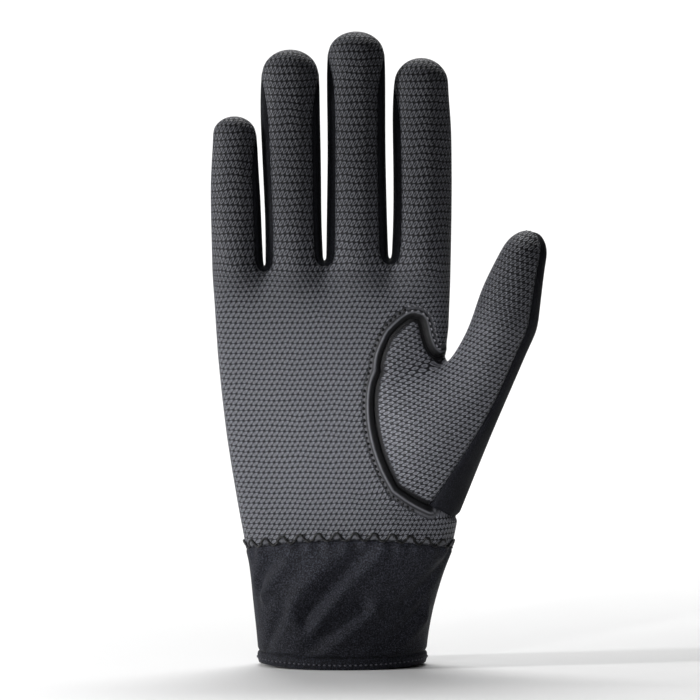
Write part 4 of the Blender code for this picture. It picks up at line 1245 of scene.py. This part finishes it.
def press_seams(skin):
    """Grooves along the panels' seams, -g exp(-(distance / w)^2), shallower at the tips."""
    seeds = np.unique(np.concatenate((
        seam_points(skin, ["palm_panel"], ["back_panel", *STRIPS]),
        seam_points(skin, ["back_panel"], [*STRIPS, "thumb_back"]),
        seam_points(skin, ["palm_panel"], ["thumb_back"]),
        seam_points(skin, ["thumb_panel"], ["thumb_back"]))))
    gap, _ = nearest_seam(skin, seeds, GROOVE_REACH * SEAM_WIDTH)
    return -SEAM_GROOVE * bell(gap, SEAM_WIDTH) * tip_share(skin["points"])


def press_opening(skin):
    """The opening's folded edge: bells of the distance to its seam for the sunk seam, the
    raised ridge and the line of stitches. Marked too: a smooth band of painted shade on
    both sides of the seam, and a painted highlight on the ridge and the band's outer part."""
    palm, thumb = on_panels(skin, ["palm_panel"]), on_panels(skin, ["thumb_panel"])
    seeds = seam_points(skin, ["palm_panel"], ["thumb_panel"])
    gap, nearest = nearest_seam(skin, seeds, OPENING_REACH)
    edge = (-EDGE_SINK * bell(gap, EDGE_CREST_WIDTH)
            + EDGE_CREST * bell(gap - EDGE_CREST_AT, EDGE_CREST_WIDTH)
            - STITCH_LINE_DEPTH * bell(gap - STITCH_LINE_AT, STITCH_LINE_WIDTH))
    sink = -EDGE_SINK * bell(gap, THUMB_SINK_WIDTH)
    ends = smooth((EDGE_END_ANGLE - turn_of(skin["points"])) / EDGE_END_FADE)
    skin["edge_gap"], skin["edge_nearest"] = np.where(palm, gap, FAR), nearest
    # Marks for the leather: a smooth band of painted shade along the seam, and a painted highlight
    # on the ridge and on the band's outer part
    band = smooth((np.where(palm, EDGE_BAND, THUMB_BAND) - gap) / BAND_FADE)
    skin["fold"] = np.where(palm | thumb, band, 0.0) * ends
    skin["painted_highlight"] = np.where(palm, bell(gap - EDGE_CREST_AT, CREST_HIGHLIGHT_WIDTH)
                             + BAND_PAINTED_HIGHLIGHT * smooth((gap - BAND_FROM) / BAND_FADE), 0.0)
    return ends * np.where(palm, edge, np.where(thumb, sink, 0.0))


def press_cuff_seam(skin):
    """A groove along the cuff's seam, with gathers of cloth below it and puffs of leather
    above it: waves cos(2 pi phase) that fade out as bells of the distance to the seam.
    The tops of the puffs are made smooth and get a painted highlight."""
    cuff, upper = on_panels(skin, ["cuff"]), on_panels(skin, ["palm_panel", "back_panel"])
    seeds = seam_points(skin, ["cuff"], ["palm_panel", "back_panel"])
    gap, nearest = nearest_seam(skin, seeds, CUFF_SEAM_REACH)
    phase = np.zeros(len(gap))
    skin["cuff_seam"] = seeds
    skin["cuff_phase"] = phase[seeds] = seam_phase(skin["points"][seeds], GATHER_PITCH)
    wave = np.cos(2 * np.pi * phase[nearest])
    gather = GATHER_DEPTH * wave * bell(gap, GATHER_REACH)
    crown = np.clip(wave, 0.0, 1.0)
    puff = PUFF_HEIGHT * bell(gap - PUFF_AT, PUFF_SIZE) * crown
    # A painted highlight on the tops of the puffs, which are also made smooth there
    painted_puff_highlight = np.where(upper, bell(gap - PUFF_AT, PUFF_HIGHLIGHT_SIZE) * crown, 0.0)
    skin["fold"] = np.maximum(skin["fold"], painted_puff_highlight)
    skin["painted_highlight"] = np.maximum(skin["painted_highlight"], PUFF_PAINTED_HIGHLIGHT * painted_puff_highlight)
    above = upper & (gap < CUFF_SEAM_REACH)
    return (-CUFF_GROOVE * bell(gap, CUFF_GROOVE_WIDTH) - np.where(cuff, gather, 0.0)
            + np.where(above, puff + GATHER_ABOVE * gather, 0.0))


def press_hem(skin):
    """The groove between the cuff and its hem: -g exp(-(distance / w)^2)."""
    seeds = seam_points(skin, ["cuff"], ["cuff_hem"])
    gap, _ = nearest_seam(skin, seeds, GROOVE_REACH * HEM_GROOVE_WIDTH)
    return -HEM_GROOVE * bell(gap, HEM_GROOVE_WIDTH)


def press_folds(skin):
    """The cuff's diagonal folds, which fade out at its two seams."""
    turn, height = turn_of(skin["points"]), skin["points"][:, 2]
    share = (height - hem_top(turn)) / (seam_height(turn) - hem_top(turn))
    folds = fold_depth(turn, height, np.clip(share, 0.0, 1.0))
    return np.where(on_panels(skin, ["cuff"]), folds, 0.0)


def press_relief(skin):
    """Moves the fine skin along its normals by the sum of all its reliefs."""
    skin["normals"] = point_normals(skin)
    skin["thumb_seam"] = front_seam(skin)
    depth = (press_seams(skin) + press_opening(skin) + press_cuff_seam(skin)
             + press_hem(skin) + press_folds(skin))
    skin["points"] = skin["points"] + skin["normals"] * depth[:, None]


def cut_panel(skin, name, thickness, finish):
    """One panel of the skin as its own piece, with a wall of the given thickness."""
    chosen = skin["panels"] == PANEL_NAMES.index(name)
    quads, cloth = skin["quads"][chosen], skin["cloth"][chosen]
    used, corners = np.unique(quads, return_inverse=True)
    mesh = bpy.data.meshes.new(name + "_cloth")
    fill_mesh(mesh, skin["points"][used], corners.reshape(-1, 4))
    mesh.uv_layers.new(name="cloth").data.foreach_set("uv", cloth.ravel())
    # The masks of the smooth band of painted shade and of the painted highlights
    for share in ("fold", "painted_highlight"):
        mesh.attributes.new(share, "FLOAT", "POINT").data.foreach_set("value", skin[share][used])
    piece = add_piece(name + "_cloth", mesh, finish)
    wall = piece.modifiers.new("wall", "SOLIDIFY")
    wall.thickness, wall.offset = thickness, -1.0
    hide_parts(name)
    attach(piece, "root")
    area = float(column(mesh.polygons, "area").sum())


def add_piece(name, mesh, finish):
    """Adds a smooth-shaded mesh with a finish to the scene, at the origin."""
    mesh.polygons.foreach_set("use_smooth", np.ones(len(mesh.polygons), dtype=bool))
    mesh.materials.append(finish)
    piece = bpy.data.objects.new(name, mesh)
    bpy.context.scene.collection.objects.link(piece)
    return piece


class Surface:
    """The finished skin, on which threads and stitches are laid."""

    def __init__(self, skin):
        self.tree = BVHTree.FromPolygons(skin["points"].tolist(), skin["quads"].tolist())

    def drop(self, points):
        """The nearest places on the skin and the ways out there."""
        found = [self.tree.find_nearest(point)[:2] for point in points]
        places, ways = zip(*found)
        return np.array(places), np.array(ways)


def even_line(points, pitch, closed=False):
    """Points a pitch apart along a line, with the pitch fitted to the line's length."""
    if closed:
        points = np.concatenate((points, points[:1]))
    steps = np.linalg.norm(np.diff(points, axis=0), axis=-1)
    run = np.concatenate(((0.0,), np.cumsum(steps)))
    wanted = np.linspace(0.0, run[-1], max(round(run[-1] / pitch), 2) + 1)
    return np.stack([np.interp(wanted, run, part) for part in points.T], axis=-1)


def wrap_faces(rows, columns):
    """Quads of a grid whose last column joins its first."""
    row, place = np.arange(rows - 1)[:, None] * columns, np.arange(columns)[None]
    corner, after = row + place, row + (place + 1) % columns
    return np.stack((corner, after, after + columns, corner + columns), axis=-1).reshape(-1, 4)


def thread_piece(name, points, faces, finish):
    """A closed mesh of threads as a piece that rides on the glove."""
    mesh = bpy.data.meshes.new(name)
    fill_mesh(mesh, points.reshape(-1, 3), faces.reshape(-1, 4))
    work = bmesh.new()
    work.from_mesh(mesh)
    bmesh.ops.remove_doubles(work, verts=work.verts, dist=WELD / 10)
    bmesh.ops.recalc_face_normals(work, faces=work.faces)
    work.to_mesh(mesh)
    work.free()
    piece = add_piece(name, mesh, finish)
    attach(piece, "root")


def stitch_row(name, line, ways, stitch, finish):
    """A row of stitches, one on each step of the line: a spindle whose radius is
    r sqrt(sin(pi t)) and whose middle stands up by h sin(pi t)."""
    step = line[1:] - line[:-1]
    start = line[:-1] + step * (1.0 - stitch["share"]) / 2
    way = (ways[1:] + ways[:-1]) / 2
    side = np.cross(step, way)
    side /= np.linalg.norm(side, axis=-1, keepdims=True)
    start, step, way, side = (part[:, None, None] for part in (start, step, way, side))
    t = np.linspace(0.0, 1.0, STITCH_RINGS)[None, :, None, None]
    turn = np.linspace(0.0, 2 * np.pi, STITCH_SIDES, endpoint=False)[None, None, :, None]
    arch = np.sin(np.pi * t)
    size = stitch["radius"] * np.sqrt(np.clip(arch, 0.0, 1.0))
    middle = start + step * stitch["share"] * t + way * stitch["lift"] * arch
    points = middle + size * (np.cos(turn) * side + np.sin(turn) * way)
    first = np.arange(len(points))[:, None, None] * STITCH_RINGS * STITCH_SIDES
    faces = wrap_faces(STITCH_RINGS, STITCH_SIDES)[None] + first
    thread_piece(name, points, faces, finish)


def thread_ring(name, line, ways, radius, finish):
    """One thread along a closed line: circles of radius r square to it."""
    run = np.roll(line, -1, axis=0) - np.roll(line, 1, axis=0)
    side = np.cross(run, ways)
    side /= np.linalg.norm(side, axis=-1, keepdims=True)
    turn = np.linspace(0.0, 2 * np.pi, THREAD_SIDES, endpoint=False)[None, :, None]
    points = line[:, None] + radius * (np.cos(turn) * side[:, None] + np.sin(turn) * ways[:, None])
    points = np.concatenate((points, points[:1]))
    thread_piece(name, points, wrap_faces(len(points), THREAD_SIDES), finish)


def line_beside_opening(skin, distance, first, last):
    """The middle of the palm's points at a distance from the opening's seam, taken step by
    step along the seam: from its foot up its left side and down the tongue."""
    foot, left, top, _ = rim_parts()
    rim = np.concatenate((foot[:-1], left[:-1], top))
    rim = even_line(body_point(rim[:, 0], rim[:, 1]), LINE_STEP)
    near = np.flatnonzero(np.abs(skin["edge_gap"] - distance) < LINE_HALF_WIDTH)
    seam = skin["points"][skin["edge_nearest"][near]]
    place = np.linalg.norm(seam[:, None] - rim[None], axis=-1).argmin(axis=1)
    near, place = near[place > 0], place[place > 0]
    count = np.bincount(place, minlength=len(rim))
    total = np.stack([np.bincount(place, skin["points"][near, axis], len(rim))
                      for axis in range(3)], axis=-1)
    line = total[count > 0] / count[count > 0, None]
    return line[int(first * len(line)):int(last * len(line))]


def stitch_opening(skin, surface, finishes):
    """The row that holds down the opening's folded edge, and two rows on the tongue."""
    for name, row in OPENING_ROWS.items():
        line = line_beside_opening(skin, row["distance"], row["first"], row["last"])
        line, out = surface.drop(even_line(line, row["stitch"]["pitch"]))
        stitch_row(name, line, out, row["stitch"], finishes[row["thread"]])


def stitch_hem(surface, finishes):
    """The row round the hem, a set height above its lower edge."""
    turn = np.linspace(0.0, 360.0, HEM_RING_POINTS, endpoint=False)
    ring = body_point(turn, hem_height(turn) + HEM_STITCH_RISE)
    line, out = surface.drop(even_line(ring, HEM_STITCH["pitch"], closed=True))
    stitch_row("hem_stitches", line, out, HEM_STITCH, finishes["hem_thread"])


def zigzag_cuff(skin, surface, finishes):
    """The thread over the cuff's seam, one zigzag to a gather: cos(a) + cos(3 a) / 9."""
    phase, seam = skin["cuff_phase"], skin["points"][skin["cuff_seam"]]
    order = np.argsort(phase)
    count = round(phase.max())
    wanted = np.linspace(0.0, count, count * ZIGZAG_STEPS, endpoint=False)
    seam = np.stack([np.interp(wanted, phase[order], part, period=count)
                     for part in seam[order].T], axis=-1)
    turn = 2 * np.pi * wanted
    seam[:, 2] += ZIGZAG_MIDDLE + ZIGZAG_RISE * (np.cos(turn) + np.cos(3 * turn) / 9)
    line, out = surface.drop(seam)
    thread_ring("cuff_zigzag_thread", line + out * ZIGZAG_LIFT, out, ZIGZAG_RADIUS,
                finishes["black_thread"])


def stitch_strips(surface, finishes):
    """A row beside each edge of the strips between the fingers."""
    for left, right in zip(FINGER_NAMES, FINGER_NAMES[1:]):
        sheet = fourchette_sheet(left, right)[STRIP_BARE_ROWS:-STRIP_BARE_ROWS]
        for side, edge in (("front", sheet[:, 0]), ("back", sheet[:, -1])):
            seam = even_line(edge, SEAM_STITCH["pitch"])
            line, out = surface.drop(seam + (0.0, STRIP_STITCH_SHIFT[side], 0.0))
            stitch_row(f"stitches_{left}_{right}_{side}", line, out, SEAM_STITCH,
                       finishes["dark_thread"])


def stitch_thumb(skin, surface, finishes):
    """The row beside the thumb's seam that shows from the front."""
    seam = skin["points"][skin["thumb_seam"]]
    seam = seam[np.argsort(seam[:, 2])][::THUMB_SEAM_SKIP]
    line, out = surface.drop(even_line(seam, SEAM_STITCH["pitch"]) + THUMB_STITCH_SHIFT)
    stitch_row("thumb_stitches", line, out, SEAM_STITCH, finishes["dark_thread"])


def lay_stitches(skin, finishes):
    """All the threads, laid on the finished skin."""
    surface = Surface(skin)
    stitch_opening(skin, surface, finishes)
    stitch_hem(surface, finishes)
    zigzag_cuff(skin, surface, finishes)
    stitch_strips(surface, finishes)
    stitch_thumb(skin, surface, finishes)


class Finish:
    """A material and short ways to add and join its nodes."""

    def __init__(self, name):
        self.material = bpy.data.materials.new(name)
        self.material.use_nodes = True
        self.tree = self.material.node_tree
        self.shader = self.tree.nodes["Principled BSDF"]

    def node(self, kind, inputs=(), **settings):
        """A node with its settings, its inputs linked or set."""
        made = self.tree.nodes.new(kind)
        for name, value in settings.items():
            setattr(made, name, value)
        for name, value in dict(inputs).items():
            if isinstance(value, bpy.types.NodeSocket):
                self.tree.links.new(value, made.inputs[name])
            else:
                made.inputs[name].default_value = value
        return made

    def math(self, operation, *values):
        """The result of one step of arithmetic on sockets and numbers."""
        return self.node("ShaderNodeMath", enumerate(values), operation=operation).outputs[0]

    def ramp(self, value, low, high, to_low=0.0, to_high=1.0):
        """A smooth step of a value between two bounds."""
        inputs = {"Value": value, "From Min": low, "From Max": high,
                  "To Min": to_low, "To Max": to_high}
        return self.node("ShaderNodeMapRange", inputs,
                         interpolation_type="SMOOTHSTEP").outputs["Result"]

    def blend(self, share, first, second):
        """A colour between two colours."""
        inputs = {"Factor": share, MIX_FIRST: first, MIX_SECOND: second}
        return self.node("ShaderNodeMix", inputs, data_type="RGBA").outputs[MIX_RESULT]

    def noise(self, place, scale, detail=2.0):
        """Soft noise from 0 to 1 at a place."""
        inputs = {"Vector": place, "Scale": scale, "Detail": detail}
        return self.node("ShaderNodeTexNoise", inputs).outputs["Fac"]

    def cloth(self):
        """The place on the flat cloth, and its parts across and along in metres."""
        place = self.node("ShaderNodeUVMap", uv_map="cloth").outputs["UV"]
        parts = self.node("ShaderNodeSeparateXYZ", {"Vector": place})
        return place, parts.outputs["X"], parts.outputs["Y"]

    def mark(self, name):
        """A value that the mesh's points carry."""
        return self.node("ShaderNodeAttribute", attribute_name=name).outputs["Fac"]

    def object_place(self):
        """The place in the glove's own frame."""
        return self.node("ShaderNodeTexCoord").outputs["Object"]

    def bump(self, height, distance, strength=1.0):
        """Lets a height tilt the shading."""
        inputs = {"Height": height, "Distance": distance, "Strength": strength}
        made = self.node("ShaderNodeBump", inputs)
        self.tree.links.new(made.outputs["Normal"], self.shader.inputs["Normal"])

    def paint(self, colour):
        """Links a colour to the shader."""
        self.tree.links.new(colour, self.shader.inputs["Base Color"])

    def gloss(self, roughness):
        """Links a roughness to the shader."""
        self.tree.links.new(roughness, self.shader.inputs["Roughness"])

    def set(self, **values):
        """Sets plain values on the shader's sockets."""
        for name, value in values.items():
            self.shader.inputs[name.replace("_", " ")].default_value = value


def leather_cells(finish, cell_width, cell_height, upper_height):
    """Where a point lies in its grain's cell, from -1/2 to 1/2 across and up. Every other
    row is shifted, each row slants, and a noise sways rows and cells."""
    place, across, along_rows = finish.cloth()
    sway = finish.math("SUBTRACT", finish.noise(place, SWAY_SCALE), 0.5)
    sway = finish.math("MULTIPLY", sway, ROW_SWAY)
    lower = finish.math("DIVIDE", finish.math("MINIMUM", along_rows, CELL_CHANGE_AT), cell_height)
    above = finish.math("MAXIMUM", finish.math("SUBTRACT", along_rows, CELL_CHANGE_AT), 0.0)
    upper = finish.math("DIVIDE", above, upper_height)
    row_place = finish.math("ADD", finish.math("ADD", lower, upper), sway)
    odd = finish.math("MODULO", finish.math("FLOOR", row_place), 2.0)
    cell_place = finish.math("ADD", finish.math("DIVIDE", across, cell_width),
                             finish.math("MULTIPLY", odd, CELL_SHIFT))
    cell_place = finish.math("ADD", cell_place, finish.math("MULTIPLY", sway, CELL_SWAY))
    b = finish.math("SUBTRACT", finish.math("FRACT", row_place), 0.5)
    slant = finish.math("MULTIPLY", b, GRAIN_SLANT)
    a = finish.math("SUBTRACT", finish.math("FRACT", finish.math("ADD", cell_place, slant)), 0.5)
    return a, b, along_rows


def embossed_leather(name, **cells):
    """Thin synthetic leather pressed with rows of slanting grains. Each grain is a rim
    round a hollow, by e = sqrt((a / w)^2 + (b / h)^2) in its cell, with creases between
    the grains. The colour is painted shade in the creases and hollows and a painted
    highlight on the rims. The folded edge of the opening is smooth with painted shade,
    with a painted highlight on its ridge and on the cuff seam's puffs."""
    finish = Finish(name)
    a, b, along_rows = leather_cells(finish, **cells)
    ring = finish.math("SQRT", finish.math(
        "ADD", finish.math("POWER", finish.math("DIVIDE", a, GRAIN_HALF_WIDTH), 2.0),
        finish.math("POWER", finish.math("DIVIDE", b, GRAIN_HALF_HEIGHT), 2.0)))
    mound = finish.ramp(ring, *GRAIN_RIM)
    depth = finish.ramp(along_rows, CELL_CHANGE_AT - CELL_CHANGE_SPAN, CELL_CHANGE_AT,
                        *HOLLOW_DEPTHS)
    hollow = finish.math("MULTIPLY", finish.ramp(ring, *GRAIN_HOLLOW), depth)
    fold, painted_highlight = finish.mark("fold"), finish.mark("painted_highlight")
    rim = finish.math("MULTIPLY", finish.math("SUBTRACT", mound, hollow),
                      finish.math("SUBTRACT", 1.0, fold))
    pores = finish.noise(finish.object_place(), PORE_SCALE, PORE_DETAIL)
    # Painted shade in the creases and hollows, and a painted highlight on the rims
    leather = finish.blend(rim, LEATHER_PAINTED_SHADE, LEATHER_PAINTED_HIGHLIGHT)
    # The smooth band's painted shade, turning into a painted highlight on the ridge and the puffs
    edge = finish.blend(painted_highlight, PAINTED_SHADE_COLOUR, PAINTED_HIGHLIGHT_COLOUR)
    finish.paint(finish.blend(fold, leather, edge))
    gloss = finish.math("ADD", rim, finish.math("MULTIPLY", pores, PORE_GLOSS))
    finish.gloss(finish.ramp(gloss, **LEATHER_GLOSS))
    relief = finish.math("ADD", rim, finish.math("MULTIPLY", pores, PORE_HEIGHT))
    finish.bump(relief, LEATHER_BUMP)
    finish.set(Specular_IOR_Level=0.25)
    return finish.material


def stretch_cloth(name, light, thread, roughness, sheen):
    """Fine knit: two sets of waves cross at the thread's pitch, with a speckle of its own."""
    finish = Finish(name)
    _, across, along_rows = finish.cloth()
    turn = 2 * np.pi / thread
    first = finish.math("SINE", finish.math("MULTIPLY", across, turn))
    second = finish.math("SINE", finish.math("MULTIPLY", along_rows, turn))
    knit = finish.math("MULTIPLY", first, second)
    speckle = finish.noise(finish.object_place(), SPECKLE_SCALE)
    cloud = finish.noise(finish.object_place(), CLOUD_SCALE)
    mixed = finish.math("ADD", finish.math("MULTIPLY", knit, KNIT_COLOUR_SHARE), speckle)
    share = finish.ramp(mixed, *KNIT_COLOUR_RANGE)
    finish.paint(finish.blend(share, CLOTH_DARK, light))
    finish.gloss(finish.ramp(cloud, *CLOUD_RANGE, roughness - ROUGHNESS_SWING,
                             roughness + ROUGHNESS_SWING))
    relief = finish.math("ADD", finish.math("MULTIPLY", knit, KNIT_RELIEF_SHARE), speckle)
    finish.bump(relief, **KNIT_BUMP)
    finish.set(Sheen_Weight=sheen, Sheen_Roughness=0.4, Specular_IOR_Level=0.12)
    return finish.material


def twisted_thread(name, colour):
    """Sewing thread with a slight gloss and fine fibres."""
    finish = Finish(name)
    fibre = finish.noise(finish.object_place(), FIBRE_SCALE, FIBRE_DETAIL)
    darker = tuple(FIBRE_SHADE * part for part in colour[:3]) + (1.0,)
    finish.paint(finish.blend(fibre, darker, colour))
    finish.bump(fibre, **FIBRE_BUMP)
    finish.set(Roughness=0.45, Specular_IOR_Level=0.3)
    return finish.material


def studio_white():
    """A matt pale paper with the faintest unevenness."""
    finish = Finish("studio_white")
    cloud = finish.noise(finish.object_place(), PAPER_SCALE)
    finish.paint(finish.blend(cloud, PAPER_DARK, PAPER_LIGHT))
    finish.set(Roughness=0.95, Specular_IOR_Level=0.1)
    return finish.material


def make_finishes():
    """The finishes of all the panels and threads, by their names."""
    finishes = {name: stretch_cloth(name, **knit) for name, knit in KNITS.items()}
    for name, cells in LEATHERS.items():
        finishes[name] = embossed_leather(name, **cells)
    for name, colour in THREADS.items():
        finishes[name] = twisted_thread(name, colour)
    return finishes


def make_glove():
    """The glove: one fine skin, eased and pressed, cut into its panels and stitched."""
    fine = fine_skin()
    skin = read_mesh(fine)
    bpy.data.meshes.remove(fine)
    ease_opening(skin)
    lay_thumb_cloth(skin)
    press_relief(skin)
    finishes = make_finishes()
    for name, finish in PANEL_FINISHES.items():
        cut_panel(skin, name, HEM_WALL if name == "cuff_hem" else WALL, finishes[finish])
    lay_stitches(skin, finishes)


def make_camera():
    """A long lens in front of the glove, tilted down a little."""
    lens = bpy.data.cameras.new("camera")
    lens.lens, lens.sensor_width = LENS, SENSOR
    camera = bpy.data.objects.new("camera", lens)
    bpy.context.scene.collection.objects.link(camera)
    aim, tilt = Vector(CAMERA_AIM), np.radians(CAMERA_TILT)
    far = PICTURE_WIDTH * LENS / SENSOR
    camera.location = aim + Vector((0.0, -far * np.cos(tilt), far * np.sin(tilt)))
    camera.rotation_euler = (aim - camera.location).to_track_quat("-Z", "Y").to_euler()
    bpy.context.scene.camera = camera


def make_light(name, place, aim, size, power, spread):
    """A rectangular soft box that points from its place to its aim."""
    lamp = bpy.data.lights.new(name, "AREA")
    lamp.shape = "RECTANGLE"
    lamp.size, lamp.size_y = size
    lamp.energy, lamp.spread = power, np.radians(spread)
    light = bpy.data.objects.new(name, lamp)
    light.location = place
    light.rotation_euler = (Vector(aim) - Vector(place)).to_track_quat("-Z", "Y").to_euler()
    bpy.context.scene.collection.objects.link(light)


def make_floor():
    """A pale floor that curves up into a wall behind the glove."""
    across = np.linspace(-FLOOR_HALF_WIDTH, FLOOR_HALF_WIDTH, FLOOR_COLUMNS)[None]
    run = np.linspace(0.0, 1.0, FLOOR_ROWS)[:, None]
    away = np.interp(run, FLOOR_PROFILE["share"], FLOOR_PROFILE["away"])
    rise = np.interp(run, FLOOR_PROFILE["share"], FLOOR_PROFILE["rise"])
    points = np.stack(np.broadcast_arrays(across, away, rise), axis=-1)
    mesh = bpy.data.meshes.new("studio_floor")
    fill_mesh(mesh, points.reshape(-1, 3), grid_faces(FLOOR_ROWS, FLOOR_COLUMNS, 0))
    add_piece("studio_floor", mesh, studio_white())


def make_studio():
    """The floor, the soft boxes and a faint light from all round."""
    make_floor()
    world = bpy.data.worlds.new("studio_air")
    world.use_nodes = True
    air = world.node_tree.nodes["Background"]
    air.inputs["Color"].default_value = (1.0, 1.0, 1.0, 1.0)
    air.inputs["Strength"].default_value = AIR_LIGHT
    bpy.context.scene.world = world
    bpy.context.scene.view_settings.view_transform = "Standard"
    for lamp in LAMPS:
        make_light(*lamp)


make_camera()
make_studio()
make_glove()
